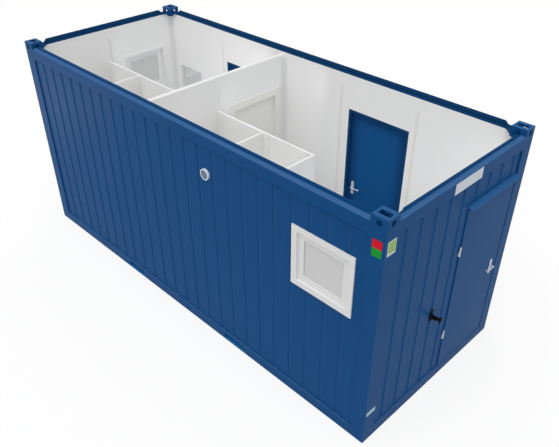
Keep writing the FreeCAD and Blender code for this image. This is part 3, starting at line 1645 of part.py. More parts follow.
def basin_trap(name, wall, middle):
    """The drain below a basin: a tail with a bottle and an arm that runs back into the wall."""
    dish_depth = dim.wall_depth + dim.basin_depth - dim.basin_dish - dim.basin_wall
    low = basin_rim_level - dim.basin_height
    radius = dim.trap_radius
    bottom = low - 6 * radius
    arm_level = bottom + 3 * radius
    tail_top = low + dim.basin_wall / 2
    pieces = [
        wall.post(f"{name}_tail", radius - dim.clear_gap, middle, dish_depth, (bottom, tail_top)),
        wall.post(f"{name}_bottle", radius * 1.8, middle, dish_depth, (bottom, bottom + 4 * radius)),
        wall.rod(f"{name}_arm", radius, middle, (dim.wall_depth, dish_depth), arm_level),
        wall.rod(f"{name}_rose", radius * 1.8, middle, (dim.wall_depth, dim.wall_depth + 5), arm_level),
    ]
    return fuse(name, *pieces)


def basin_tap(name, wall, middle):
    """A pillar tap with a fixed spout; its lever turns on a stub on top of the pillar."""
    depth = dim.wall_depth + (dim.basin_depth - 2 * dim.basin_dish - dim.basin_wall) / 2
    rim = basin_rim_level
    top = rim + dim.tap_height
    radius = dim.tap_radius
    spout_level = rim + dim.tap_height * 0.65
    tip = depth + dim.spout_length
    stub = radius * 0.4
    stub_top = top + radius * 0.6
    pillar = fuse(
        f"{name}_body",
        wall.post(f"{name}_pillar", radius, middle, depth, (rim, top)),
        wall.post(f"{name}_stub", stub, middle, depth, (top, stub_top)),
        wall.rod(f"{name}_spout", radius / 2, middle, (depth, tip), spout_level),
        ball(f"{name}_bend", radius / 2, (*wall.at(middle, tip), spout_level)),
        wall.post(f"{name}_nose", radius / 2, middle, tip, (spout_level - radius, spout_level)),
    )
    low = top + dim.clear_gap
    high = low + radius
    cap = wall.post(f"{name}_cap", radius * 0.95, middle, depth, (low, high))
    arm = wall.block(
        f"{name}_arm", (middle - radius / 3, middle + radius / 3), (depth, depth + dim.spout_length * 0.75),
        (high - radius / 3, high),
    )
    socket = wall.post(
        f"{name}_socket", stub + dim.running_gap, middle, depth, (low, stub_top + dim.clear_gap),
    )
    node(f"{name}_lever", cut(f"{name}_lever", fuse(f"{name}_lever_metal", cap, arm), socket))
    return pillar


def build_washing_places():
    basins, mirrors, taps, traps = [], [], [], []
    rows = (
        ("left_basin", "left_tap", far_wall, dim.left_basin_place - half_length),
        ("right_basin", "right_tap", right_wall, -dim.right_basin_place),
    )
    for name, tap_name, wall, middle in rows:
        basins.append(wash_basin(name, wall, middle))
        traps.append(basin_trap(f"{name}_trap", wall, middle))
        taps.append(basin_tap(tap_name, wall, middle))
        half = dim.mirror_width / 2
        low = floor_top + dim.mirror_bottom
        mirrors.append(wall.block(
            f"{name}_mirror", (middle - half, middle + half),
            (dim.wall_depth, dim.wall_depth + dim.mirror_thickness), (low, low + dim.mirror_height),
        ))
    node("wash_basins", *basins)
    node("tap_bodies", *taps)
    node("mirrors", *mirrors)
    return traps


# Assembly

build_castings()
build_posts()
build_base()
build_roof_rails()
build_floor()
build_cladding()
build_insulation()
build_lining()
build_strips()
build_partition()
build_partition_frame()
build_cubicle_panels()
build_entrance_doors()
build_partition_door()
build_cubicle_doors()
node("door_hinges", *hinges)
build_windows()
build_vent()
build_toilets()
build_pipes(build_washing_places())

doc.recompute()


def check_and_write():
    """Stop if anything failed to build; then write each sub-part to its own file."""
    for item in doc.Objects:
        if "Invalid" in item.State or "Error" in item.State:
            raise RuntimeError(f"{item.Label} failed: {item.State}")
    for label, item in nodes.items():
        if item.Shape.isNull() or not item.Shape.isValid():
            raise RuntimeError(f"{label} has no valid shape")
    os.makedirs("parts", exist_ok=True)
    for label, item in nodes.items():
        item.Shape.exportStep(f"parts/{label}.step")
        print(label, len(item.Shape.Solids), "solids", round(item.Shape.Volume / 1000), "cm3")


check_and_write()
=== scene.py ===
# %% [markdown]
# # A toilet container with its roof off
#
# The construction comes from the CAD model: every steel section, wall board, door leaf and toilet is
# already there, at its real size in metres. This lesson gives it a camera, finishes and the small trim
# that is easier to make in Blender, such as screws, gaskets, door furniture plates and pipe clips. We
# start by loading that model as a fixed frame. Its pieces are never moved or edited here.

import json
import math

import bmesh
import bpy
from mathutils import Matrix, Vector


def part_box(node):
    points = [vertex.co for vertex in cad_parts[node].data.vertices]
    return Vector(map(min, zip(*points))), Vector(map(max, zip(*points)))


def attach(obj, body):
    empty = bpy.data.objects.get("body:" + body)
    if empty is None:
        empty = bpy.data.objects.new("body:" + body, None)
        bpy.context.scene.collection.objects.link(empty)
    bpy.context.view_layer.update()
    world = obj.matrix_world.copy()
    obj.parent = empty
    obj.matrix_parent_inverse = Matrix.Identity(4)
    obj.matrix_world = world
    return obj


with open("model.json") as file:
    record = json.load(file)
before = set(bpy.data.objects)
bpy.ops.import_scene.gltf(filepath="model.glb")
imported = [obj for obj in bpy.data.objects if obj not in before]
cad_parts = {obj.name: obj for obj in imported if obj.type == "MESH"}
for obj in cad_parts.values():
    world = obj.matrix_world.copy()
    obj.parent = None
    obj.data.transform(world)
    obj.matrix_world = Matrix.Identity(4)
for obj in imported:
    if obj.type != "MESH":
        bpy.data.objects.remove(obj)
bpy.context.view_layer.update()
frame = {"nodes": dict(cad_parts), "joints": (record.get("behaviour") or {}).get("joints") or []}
nodes = frame["nodes"]
scene = bpy.context.scene

# %% [markdown]
# ## The camera
#
# The photograph looks down on the near corner at the angle of an isometric drawing, but in perspective.
# A camera was fitted to the container's corners, so its place, its two angles and its focal length are
# known. Blender measures a lens in millimetres on a 36 mm sensor, and the fitted focal length is in
# pixels of a picture 559 pixels wide, so one is turned into the other. A small shift moves the picture
# on the sensor.

# %% Camera
PICTURE_WIDTH, PICTURE_HEIGHT = 559, 447
FOCAL_PIXELS = 639.7
OPTICAL_CENTRE = (278.3, 233.5)
EYE = (5.3728, -4.7860, 5.6513)
HEADING_DEG, PITCH_DEG = 135.125, -35.354
SENSOR_MM = 36.0
FAR_CLIP = 200

camera_data = bpy.data.cameras.new("photo_camera")
camera_data.sensor_fit = "HORIZONTAL"
camera_data.sensor_width = SENSOR_MM
camera_data.lens = FOCAL_PIXELS / PICTURE_WIDTH * SENSOR_MM
camera_data.shift_x = (PICTURE_WIDTH / 2 - OPTICAL_CENTRE[0]) / PICTURE_WIDTH
camera_data.shift_y = (OPTICAL_CENTRE[1] - PICTURE_HEIGHT / 2) / PICTURE_WIDTH
camera_data.clip_end = FAR_CLIP
camera = bpy.data.objects.new("photo_camera", camera_data)
camera.location = EYE
camera.rotation_euler = (math.radians(90 + PITCH_DEG), 0, math.radians(HEADING_DEG - 90))
scene.collection.objects.link(camera)
scene.camera = camera
print("lens", round(camera_data.lens, 2), "mm")

# %% [markdown]
# ## A small language for materials
#
# A material is a graph of nodes. Drawing such a graph by hand is quick, but writing it out line by line
# in a script is hard to read. So one small class wraps a socket and lets us write `1 - mask * 0.5` as in
# plain Python, and each sum adds its own Math node.

# %% Sockets in sums
def add_node(tree, kind, settings=None, inputs=None, output=0):
    """Make a node with these settings and these values or links in its sockets; returns one output."""
    made = tree.nodes.new(kind)
    for name, value in (settings or {}).items():
        setattr(made, name, value)
    for key, value in (inputs or {}).items():
        feed(tree, made.inputs[key], value)
    return made.outputs[output]


def feed(tree, socket, value):
    """Link a socket to another one, or set its plain value."""
    source = value.socket if isinstance(value, Channel) else value
    if isinstance(source, bpy.types.NodeSocket):
        tree.links.new(source, socket)
    else:
        socket.default_value = source


class Channel:
    """A shader socket that can stand in a Python sum."""

    def __init__(self, finish, socket):
        self.finish = finish
        self.socket = socket

    def maths(self, operation, left, right):
        return self.finish.node("ShaderNodeMath", {"operation": operation}, {0: left, 1: right})

    def __add__(self, other):
        return self.maths("ADD", self, other)

    def __radd__(self, other):
        return self.maths("ADD", other, self)

    def __sub__(self, other):
        return self.maths("SUBTRACT", self, other)

    def __rsub__(self, other):
        return self.maths("SUBTRACT", other, self)

    def __mul__(self, other):
        return self.maths("MULTIPLY", self, other)


print("sockets can be added, subtracted and multiplied")

# %% [markdown]
# A second class holds one material. One method makes any node from its type, its settings and its
# inputs, and the others are the few things that our finishes are made of: noise, mixed colours, bumps,
# and masks that ask where a point lies. All of them read Object coordinates, so a pattern stays where it
# is on its piece.

# %% One material
class Finish:
    """One material, its main shader and the methods that add nodes to it."""

    def __init__(self, name):
        self.material = bpy.data.materials.new(name)
        self.material.use_nodes = True
        self.tree = self.material.node_tree
        self.shader = self.tree.nodes["Principled BSDF"]
        self.place = self.node("ShaderNodeTexCoord", output="Object")

    def node(self, kind, settings=None, inputs=None, output=0):
        return Channel(self, add_node(self.tree, kind, settings, inputs, output))

    def shade(self, **inputs):
        """Set the main shader's sockets; an underscore stands for a space."""
        for name, value in inputs.items():
            feed(self.tree, self.shader.inputs[name.replace("_", " ")], value)

    def noise(self, scale, detail=2.0, stretch=(1, 1, 1)):
        place = self.node("ShaderNodeMapping", {}, {"Vector": self.place, "Scale": stretch})
        return self.node("ShaderNodeTexNoise", {}, {"Vector": place, "Scale": scale, "Detail": detail})

    def mix(self, amount, first, second):
        colours = [side if isinstance(side, Channel) else (*side, 1) for side in (first, second)]
        inputs = {0: amount, 6: colours[0], 7: colours[1]}
        return self.node("ShaderNodeMix", {"data_type": "RGBA"}, inputs, output=2)

    def bump(self, height, strength, distance):
        inputs = {"Height": height, "Strength": strength, "Distance": distance}
        return self.node("ShaderNodeBump", {}, inputs)

    def offset(self, axis, centre):
        """How far a point lies from the centre along one axis."""
        return self.node("ShaderNodeSeparateXYZ", {}, {0: self.place}, axis) - centre["XYZ".index(axis)]

    def within(self, radius, centre, axes):
        """1 within a distance of the centre along these axes: two give a round bar, one gives a layer."""
        square = 0
        for axis in axes:
            distance = self.offset(axis, centre)
            square = distance * distance + square
        return square.maths("LESS_THAN", square, radius * radius)

    def fade(self, axis, centre, near, far):
        """0 up to the near distance from the centre along an axis, rising smoothly to 1 at the far one."""
        offset = self.offset(axis, centre)
        distance = offset.maths("ABSOLUTE", offset, 0)
        inputs = {"Value": distance, "From Min": near, "From Max": far}
        return self.node("ShaderNodeMapRange", {"interpolation_type": "SMOOTHSTEP"}, inputs)


finishes = {}
print("material helpers ready")

# %% [markdown]
# ## Blue coating
#
# The frame, the sheet walls and the doors are coated in one strong blue. A sprayed coat is never quite
# flat: it has a fine ripple that painters call orange peel, and a very faint change of tone over a large
# sheet. Two noises give both: a fine one drives the bump, a broad one the colour and the gloss. A third
# one, stretched upwards, gives faint rain streaks. The coat mirrors little of the white ground, so its
# index of refraction is low. Other tones can lie over the first where a mask asks for them, and bare
# metal can show through.

# %% Blue coating
BLUE_TONES = ((0.0050, 0.068, 0.215), (0.0075, 0.083, 0.258))
# The fork pockets get a paler blue as painted light, which lifts their insides where they would be dark.
POCKET_PAINTED_LIGHT_TONES = ((0.020, 0.150, 0.400), (0.026, 0.180, 0.460))
HOOD_TONES = ((0.026, 0.122, 0.305), (0.031, 0.139, 0.345))
BARE_STEEL = (0.66, 0.67, 0.68)
COAT_ROUGHNESS, COAT_GLOSS_CHANGE = 0.42, 0.12
COAT_IOR = 1.12
TONE_SCALE = 0.9
STREAK_SCALE, STREAK_STRETCH, STREAK_SHARE = 7.0, (1, 1, 0.06), 0.3
PEEL_SCALE, PEEL_STRENGTH, PEEL_DEPTH = 240.0, 0.08, 0.0006


def coated_steel(name, tones, layers=(), bare=None):
    """Sprayed coating with rain streaks and a fine ripple.

    Each layer is a function that gives its mask, and its tone; bare gives the mask where the metal shows.
    """
    finish = Finish(name)
    broad = finish.noise(TONE_SCALE, detail=3)
    streak = finish.noise(STREAK_SCALE, detail=2, stretch=STREAK_STRETCH)
    colour = finish.mix(broad * (1 - STREAK_SHARE) + streak * STREAK_SHARE, *tones)
    for mask_of, tone in layers:
        colour = finish.mix(mask_of(finish), colour, tone)
    if bare:
        mask = bare(finish)
        colour = finish.mix(mask, colour, BARE_STEEL)
        finish.shade(Metallic=mask)
    finish.shade(
        Base_Color=colour,
        Roughness=COAT_ROUGHNESS + (broad - 0.5) * COAT_GLOSS_CHANGE,
        Normal=finish.bump(finish.noise(PEEL_SCALE, detail=1), PEEL_STRENGTH, PEEL_DEPTH),
        IOR=COAT_IOR,
    )
    finishes[name] = finish.material
    return finish.material


coated_steel("blue_coating", BLUE_TONES)
# Painted light: the paler blue inside the fork pockets.
coated_steel("pocket_painted_light_coating", POCKET_PAINTED_LIGHT_TONES)
coated_steel("hood_coating", HOOD_TONES)
print("coatings:", sorted(finishes))

# %% [markdown]
# ## Boards, plastics and ceramics
#
# The inside is lined with white coated boards, so it needs a soft white with a hint of grain. Window
# frames and seats are smooth moulded plastic, the bowls and basins are glazed, and the floor is a
# speckled vinyl sheet. They all share one recipe with different values: a dark and a light tone mixed by
# a noise, and a bump from a finer noise. The panes are frosted, and the one in the end wall is painted
# greyer as painted shade, because it is in shade.

# %% Boards, plastics and ceramics
GRAIN_FINENESS = 6
GRAIN_GLOSS_CHANGE = 0.1
GRAIN_DEPTH = 0.0005


def grey(level):
    return (level, level, level)


def pale_surface(name, dark, light, rough, speck_scale, ripple, **extra):
    """A smooth surface whose tone is broken up by specks, with a faint ripple."""
    finish = Finish(name)
    specks = finish.noise(speck_scale, detail=4)
    grain = finish.noise(speck_scale * GRAIN_FINENESS, detail=2)
    finish.shade(
        Base_Color=finish.mix(specks, dark, light),
        Roughness=rough + (grain - 0.5) * GRAIN_GLOSS_CHANGE,
        Normal=finish.bump(grain, ripple, GRAIN_DEPTH),
        **extra,
    )
    finishes[name] = finish.material


pale_surface("white_board", (0.83, 0.83, 0.825), (0.86, 0.86, 0.855), 0.5, 3.0, 0.03)
pale_surface("cubicle_board", (0.82, 0.82, 0.815), (0.85, 0.85, 0.845), 0.45, 4.0, 0.03)
pale_surface("cream_strip", (0.77, 0.75, 0.71), (0.80, 0.78, 0.74), 0.45, 9.0, 0.03)
pale_surface("cream_door", (0.79, 0.78, 0.74), (0.82, 0.81, 0.77), 0.45, 6.0, 0.03)
pale_surface("floor_vinyl", (0.34, 0.35, 0.36), (0.62, 0.63, 0.64), 0.42, 90.0, 0.10)
pale_surface("white_plastic", (0.81, 0.81, 0.815), (0.825, 0.825, 0.83), 0.34, 5.0, 0.01, Coat_Weight=0.1)
# The trim plastic is greyer than the boards, as painted shade in the room corners.
pale_surface("trim_shade_plastic", grey(0.765), grey(0.785), 0.40, 5.0, 0.01)
pale_surface("grey_plastic", (0.24, 0.25, 0.26), (0.30, 0.31, 0.32), 0.45, 14.0, 0.05)
pale_surface("ceramic_glaze", (0.78, 0.78, 0.77), (0.82, 0.82, 0.81), 0.12, 2.5, 0.01, Coat_Weight=0.6)
pale_surface("frosted_glass", grey(0.76), grey(0.79), 0.55, 160.0, 0.12, Transmission_Weight=0.12)
# Painted shade: the same frosted glass in a greyer tone, for the pane in the end wall.
pale_surface("shaded_glass", grey(0.69), grey(0.72), 0.55, 160.0, 0.12, Transmission_Weight=0.12)
pale_surface("mineral_wool", (0.46, 0.38, 0.20), (0.62, 0.54, 0.32), 0.9, 60.0, 0.6)
pale_surface("black_coating", (0.006, 0.006, 0.007), (0.014, 0.014, 0.015), 0.6, 30.0, 0.10, IOR=1.08)
pale_surface("pale_rubber", grey(0.58), grey(0.62), 0.7, 80.0, 0.05)
print("finishes:", len(finishes))

# %% [markdown]
# ## Metals and plywood
#
# Handles and hinges are satin metal with fine brush lines, so their noise is stretched along one
# direction. Taps and buttons are polished, and the mirrors are the smoothest of all: the smoother the
# metal, the less its gloss changes. The floor deck is plywood, which shows bands of grain.

# %% Metals and plywood
BRUSH_STRETCH = (0.08, 1, 1)
BRUSH_GLOSS_CHANGE, FULL_BRUSH_ROUGHNESS = 0.12, 0.25
BRUSH_STRENGTH, BRUSH_DEPTH = 0.04, 0.0003
PLY_SCALE, PLY_STRETCH = 14.0, (0.15, 1, 1)
PLY_ROUGHNESS, PLY_GLOSS_CHANGE = 0.65, 0.2
PLY_STRENGTH, PLY_DEPTH = 0.3, 0.001


def metal(name, dark, light, rough, brush_scale, metallic=1.0):
    finish = Finish(name)
    brush = finish.noise(brush_scale, detail=3, stretch=BRUSH_STRETCH)
    brushed = min(1.0, rough / FULL_BRUSH_ROUGHNESS)
    finish.shade(
        Base_Color=finish.mix(brush, dark, light),
        Metallic=metallic,
        Roughness=rough + (brush - 0.5) * BRUSH_GLOSS_CHANGE * brushed,
        Normal=finish.bump(brush, BRUSH_STRENGTH, BRUSH_DEPTH),
    )
    finishes[name] = finish.material


def plywood(name, dark, light):
    finish = Finish(name)
    grain = finish.noise(PLY_SCALE, detail=6, stretch=PLY_STRETCH)
    finish.shade(
        Base_Color=finish.mix(grain, dark, light),
        Roughness=PLY_ROUGHNESS + (grain - 0.5) * PLY_GLOSS_CHANGE,
        Normal=finish.bump(grain, PLY_STRENGTH, PLY_DEPTH),
    )
    finishes[name] = finish.material


metal("satin_metal", (0.60, 0.68, 0.76), (0.70, 0.78, 0.86), 0.40, 300.0, metallic=0.45)
metal("hinge_steel", (0.60, 0.61, 0.62), (0.72, 0.73, 0.74), 0.38, 260.0)
metal("polished_chrome", (0.72, 0.73, 0.74), (0.78, 0.79, 0.80), 0.08, 90.0)
metal("mirror_silver", (0.84, 0.86, 0.86), (0.88, 0.90, 0.90), 0.02, 4.0)
plywood("deck_plywood", (0.30, 0.19, 0.09), (0.48, 0.34, 0.19))
print("metals and wood done, finishes:", len(finishes))

# %% [markdown]
# ## Dressing the frame
#
# Each CAD node keeps its mesh and only gets a new material. A short list of rules by name is enough,
# because the nodes are named after what they are: everything that ends in `_handle` is a handle, and so
# on. Where two endings fit, the first one in the list counts.

# %% Dress the frame
FINISH_OF = {
    "base_frame": "blue_coating", "fork_pockets": "pocket_painted_light_coating", "corner_castings": "blue_coating",
    "corner_posts": "blue_coating", "roof_rails": "blue_coating", "long_wall_cladding": "blue_coating",
    "end_wall_cladding": "blue_coating", "entrance_door_frames": "blue_coating",
    "end_door": "blue_coating", "left_side_door": "blue_coating", "right_side_door": "blue_coating",
    "rain_hoods": "hood_coating", "door_hinges": "hinge_steel", "door_holders": "black_coating",
    "floor_deck": "deck_plywood", "floor_covering": "floor_vinyl", "wall_insulation": "mineral_wool",
    "wall_lining": "white_board", "joint_strips": "cream_strip", "partition_wall": "white_board",
    "partition_door_frame": "cream_door", "partition_door": "cream_door", "cubicle_panels": "cubicle_board",
    "window_frames": "white_plastic", "end_window_pane": "shaded_glass", "vent_housing": "white_plastic",
    "fan_impeller": "grey_plastic", "toilet_bowls": "ceramic_glaze", "toilet_cisterns": "white_plastic",
    "wash_basins": "ceramic_glaze", "tap_bodies": "polished_chrome", "mirrors": "mirror_silver",
    "service_pipes": "grey_plastic",
}
FINISH_OF_ENDING = {
    "_window_handle": "white_plastic", "_handle": "satin_metal", "_lock_knob": "satin_metal",
    "_cubicle_door": "cubicle_board", "_toilet_seat": "white_plastic", "_flush_button": "polished_chrome",
    "_sash": "white_plastic", "_pane": "frosted_glass", "_tap_lever": "polished_chrome",
}


def finish_for(name):
    if name in FINISH_OF:
        return finishes[FINISH_OF[name]]
    return next(finishes[finish] for ending, finish in FINISH_OF_ENDING.items() if name.endswith(ending))


for name, piece in nodes.items():
    piece.data.materials.clear()
    piece.data.materials.append(finish_for(name))
print("dressed", len(nodes), "nodes")

# %% [markdown]
# ## Where the doors are
#
# Every door has a hinge line, a direction from the hinges to its free edge and a direction that faces
# the person who opens it. The hinge lines come from the joints of the frame, so the trim always sits
# where the doors turn.

# %% Doors
def joint_place(body):
    """Where the joint that moves a body is."""
    return Vector(next(joint for joint in frame["joints"] if joint["child"] == body)["pos_m"])


class DoorPlace:
    """Hinge line, leaf direction and outward direction of one door."""

    def __init__(self, body, leaf, out):
        self.body = body
        self.hinge = joint_place(body) * Vector((1, 1, 0))
        self.leaf = Vector(leaf)
        self.out = Vector(out)

    def spot(self, along, out, level):
        return self.hinge + self.leaf * along + self.out * out + Vector((0, 0, level))


steel_doors = [
    DoorPlace("end_door", (0, 1, 0), (1, 0, 0)),
    DoorPlace("left_side_door", (1, 0, 0), (0, 1, 0)),
    DoorPlace("right_side_door", (-1, 0, 0), (0, 1, 0)),
]
partition_door = DoorPlace("partition_door", (0, -1, 0), (-1, 0, 0))
inner_doors = [partition_door]
for cubicle, leaf in (("left_outer", -1), ("left_inner", -1), ("right_inner", 1), ("right_outer", 1)):
    inner_doors.append(DoorPlace(f"{cubicle}_cubicle_door", (leaf, 0, 0), (0, 1, 0)))
print("doors:", [door.body for door in (*steel_doors, *inner_doors)])

# %% [markdown]
# The coating of a steel door depends on such a place. Its hinge barrels are bare metal, so a mask by the
# distance from the hinge line lets the steel show. The inner face of the leaf is painted darker towards
# its edges, as painted shade where the frame would shade it, so a second mask fades in towards the sides
# and the head.

# %% Steel door coatings
BARREL_RADIUS = 0.0095
LEAF_START, LEAF_WIDTH = 0.0105, 0.910
LEAF_MIDDLE = LEAF_START + LEAF_WIDTH / 2
LEAF_BACK = -0.056
INNER_HALF_WIDTH = 0.435
INNER_HEAD = 2.251
BORDER_FADE = 0.190
# Painted shade on the border of the leaf's inner face.
LEAF_BORDER_SHADE_BLUE = (0.0046, 0.043, 0.145)
SKIN = 0.0006


def bare_barrel(door):
    return lambda finish: finish.within(BARREL_RADIUS, door.hinge, "XY")


def leaf_border(door):
    """Mask of painted shade that fades in towards the sides and the head of the leaf's inner face."""
    middle = door.spot(LEAF_MIDDLE, LEAF_BACK, INNER_HEAD / 2)
    along, across = ("X", "Y") if door.leaf.x else ("Y", "X")

    def mask(finish):
        sides = finish.fade(along, middle, INNER_HALF_WIDTH - BORDER_FADE, INNER_HALF_WIDTH)
        head = finish.fade("Z", middle, INNER_HEAD / 2 - BORDER_FADE, INNER_HEAD / 2)
        return finish.within(SKIN, middle, across) * (sides + head - sides * head)

    return mask


for door in steel_doors:
    borders = [(leaf_border(door), LEAF_BORDER_SHADE_BLUE)]
    coat = coated_steel(f"{door.body}_coating", BLUE_TONES, borders, bare_barrel(door))
    nodes[door.body].data.materials[0] = coat
print("steel doors coated:", len(steel_doors))

# %% [markdown]
# ## Tones on the frame and the walls
#
# Dust lies on the ledges of the roof rails and of the base, and the tops of the corner castings are rubbed
# pale; both paler tones are also a painted highlight on these faces that look up. The grooves of the
# cladding are painted a little paler than its flats, as painted light against the shade in them, while the
# insides of the upstands and the reveals of the door frames get painted shade. Each gets a mask by
# distance. The outer ledge slopes, so its mask is a layer as deep as the slope is high, kept to the strip
# between the edge of the container and the upstand.

# %% Masks on the frame and the walls
HALF_LENGTH, HALF_WIDTH, TOP_LEVEL = (round(reach, 4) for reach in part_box("corner_castings")[1])
LEDGE_DROP = 0.076
LEDGE_LEVEL = TOP_LEVEL - LEDGE_DROP
LEDGE_RISE = 0.015
LEDGE_WIDTH = 0.050
UPSTAND_SHEET = 0.004
BASE_LEDGE_LEVEL = 0.124
WALL_DEPTH = 0.0975
CLADDING_RECESS = 0.016
GROOVE_START = 0.002
REVEAL_DEPTH = 0.036


def inner_field(finish, inset):
    """1 over the plan of the container, less a strip along its edge."""
    ends = finish.within(HALF_LENGTH - inset, (0, 0, 0), "X")
    return ends * finish.within(HALF_WIDTH - inset, (0, 0, 0), "Y")


def ledge_top(finish):
    slope = finish.within(LEDGE_RISE / 2 + SKIN, (0, 0, LEDGE_LEVEL + LEDGE_RISE / 2), "Z")
    return slope * (1 - inner_field(finish, LEDGE_WIDTH + SKIN))


def upstand_inside(finish):
    return inner_field(finish, LEDGE_WIDTH + UPSTAND_SHEET / 2)


def groove(finish):
    return inner_field(finish, CLADDING_RECESS + GROOVE_START)


def base_ledge(finish):
    return finish.within(SKIN, (0, 0, BASE_LEDGE_LEVEL), "Z")


def reveal(finish):
    far = finish.within(REVEAL_DEPTH, (0, HALF_WIDTH - WALL_DEPTH, 0), "Y")
    end = finish.within(REVEAL_DEPTH, (HALF_LENGTH - WALL_DEPTH, 0, 0), "X")
    return far + end - far * end


def casting_top(finish):
    return finish.within(SKIN, (0, 0, TOP_LEVEL), "Z")


print("half length and width:", HALF_LENGTH, HALF_WIDTH, "top:", TOP_LEVEL)

# %% [markdown]
# Now each of these nodes gets a coating of its own, with its masks and their tones laid over the blue in
# order.

# %% Tones on the frame and the walls
# Dust on the ledges, together with a painted highlight on these upward faces.
DUST_AND_HIGHLIGHT_BLUE = (0.042, 0.128, 0.300)
# Wear on the casting tops, together with a painted highlight on these upward faces.
WEAR_AND_HIGHLIGHT_BLUE = (0.022, 0.104, 0.280)
# Painted shade inside the upstands and on the reveals of the door frames.
SHADED_BLUE = (0.0055, 0.050, 0.148)
# Painted light: the grooves are paler, to lift the shade that falls in them.
GROOVE_PAINTED_LIGHT_BLUE = (0.015, 0.090, 0.258)
TONE_LAYERS = {
    "roof_rails": [(ledge_top, DUST_AND_HIGHLIGHT_BLUE), (upstand_inside, SHADED_BLUE)],
    "corner_castings": [(casting_top, WEAR_AND_HIGHLIGHT_BLUE)],
    "base_frame": [(base_ledge, DUST_AND_HIGHLIGHT_BLUE)],
    "entrance_door_frames": [(reveal, SHADED_BLUE)],
    "long_wall_cladding": [(groove, GROOVE_PAINTED_LIGHT_BLUE)],
    "end_wall_cladding": [(groove, GROOVE_PAINTED_LIGHT_BLUE)],
}
for name, layers in TONE_LAYERS.items():
    nodes[name].data.materials[0] = coated_steel(f"{name}_coating", BLUE_TONES, layers)
print("toned:", sorted(TONE_LAYERS))

# %% [markdown]
# The vent is one moulded piece, but its grille is painted greyer than the ring around it, as painted shade
# for the dark gaps between its bars. A mask by the distance from the fan's axis tells one from the other.

# %% Vent
GRILLE_RADIUS = 0.0525
RING_WHITE, GRILLE_SHADE_GREY = (0.80, 0.87, 0.93), (0.27, 0.36, 0.48)
VENT_ROUGHNESS = 0.4
vent_finish = Finish("vent_plastic")
grille = vent_finish.within(GRILLE_RADIUS, joint_place("fan_impeller"), "XZ")
vent_finish.shade(Base_Color=vent_finish.mix(grille, RING_WHITE, GRILLE_SHADE_GREY), Roughness=VENT_ROUGHNESS)
nodes["vent_housing"].data.materials[0] = vent_finish.material
print("vent grille toned")

# %% [markdown]
# ## Trees that repeat things
#
# Screws, gaskets and pipe clips repeat, so each kind is one Geometry Nodes tree with named inputs for
# its sizes. The script runs a tree by putting it on an empty carrier, setting the inputs and asking
# Blender for the finished mesh. What comes back is a plain mesh, so nothing live is left on the pieces.

# %% Geometry Nodes helpers
def new_tree(name, inputs):
    """An empty tree with one geometry output; returns it with its named input sockets."""
    tree = bpy.data.node_groups.new(name, "GeometryNodeTree")
    tree.interface.new_socket(name="Geometry", in_out="OUTPUT", socket_type="NodeSocketGeometry")
    for label, kind in inputs.items():
        tree.interface.new_socket(name=label, in_out="INPUT", socket_type=f"NodeSocket{kind}")
    entry = tree.nodes.new("NodeGroupInput")
    return tree, {socket.name: socket for socket in entry.outputs if socket.name}


def finish_tree(tree, geometry, material):
    """Close a tree: real geometry in place of instances, and its material."""
    real = add_node(tree, "GeometryNodeRealizeInstances", {}, {0: geometry})
    dressed = add_node(tree, "GeometryNodeSetMaterial", {}, {0: real, 2: material})
    leave = tree.nodes.new("NodeGroupOutput")
    tree.links.new(dressed, leave.inputs[0])


def run_tree(tree, values):
    """The plain mesh that a tree gives for these inputs."""
    carrier = bpy.data.objects.new("carrier", bpy.data.meshes.new("carrier"))
    scene.collection.objects.link(carrier)
    modifier = carrier.modifiers.new("tree", "NODES")
    modifier.node_group = tree
    for item in tree.interface.items_tree:
        if item.in_out == "INPUT" and item.name in values:
            modifier[item.identifier] = values[item.name]
    bpy.context.view_layer.update()
    evaluated = carrier.evaluated_get(bpy.context.evaluated_depsgraph_get())
    mesh = bpy.data.meshes.new_from_object(evaluated)
    carrier.modifiers.clear()
    bpy.data.objects.remove(carrier)
    return mesh


print("tree helpers ready")

# %% [markdown]
# A finished piece is one mesh on one body. Several meshes are joined, points that lie on each other are
# merged, and the faces are turned to look outwards.

# %% Pieces
MERGE_DISTANCE = 1e-6


def add_piece(name, meshes, body, material=None):
    """Join meshes into one object that rides on a body."""
    joined = bmesh.new()
    for mesh in meshes:
        joined.from_mesh(mesh)
    bmesh.ops.remove_doubles(joined, verts=joined.verts, dist=MERGE_DISTANCE)
    bmesh.ops.recalc_face_normals(joined, faces=joined.faces)
    result = bpy.data.meshes.new(name)
    joined.to_mesh(result)
    joined.free()
    for dress in [material] if material else meshes[0].materials:
        result.materials.append(dress)
    piece = bpy.data.objects.new(name, result)
    scene.collection.objects.link(piece)
    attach(piece, body)


print("pieces can be added")

# %% [markdown]
# ## Screws
#
# A row of screws is a line of points with a domed head on each. The tree needs the first point, the step
# to the next one, how many there are, the size of the head and the way that it faces.

# %% Screw tree
HEAD_SEGMENTS, HEAD_RINGS = 12, 6
HEAD_HEIGHT_RATIO = 0.45
screw_tree, entry = new_tree("screw_row", {
    "Start": "Vector", "Step": "Vector", "Count": "Int", "Head Radius": "Float", "Turn": "Vector",
    "Material": "Material",
})
line = add_node(screw_tree, "GeometryNodeMeshLine", {"mode": "OFFSET"}, {
    "Count": entry["Count"], "Start Location": entry["Start"], "Offset": entry["Step"]})
ball = add_node(screw_tree, "GeometryNodeMeshUVSphere", {}, {
    "Segments": HEAD_SEGMENTS, "Rings": HEAD_RINGS, "Radius": entry["Head Radius"]})
head = add_node(screw_tree, "GeometryNodeTransform", {}, {
    "Geometry": ball, "Scale": (1, 1, HEAD_HEIGHT_RATIO)})
facing = add_node(screw_tree, "FunctionNodeEulerToRotation", {}, {"Euler": entry["Turn"]})
heads = add_node(screw_tree, "GeometryNodeInstanceOnPoints", {}, {
    "Points": line, "Instance": head, "Rotation": facing})
finish_tree(screw_tree, heads, entry["Material"])


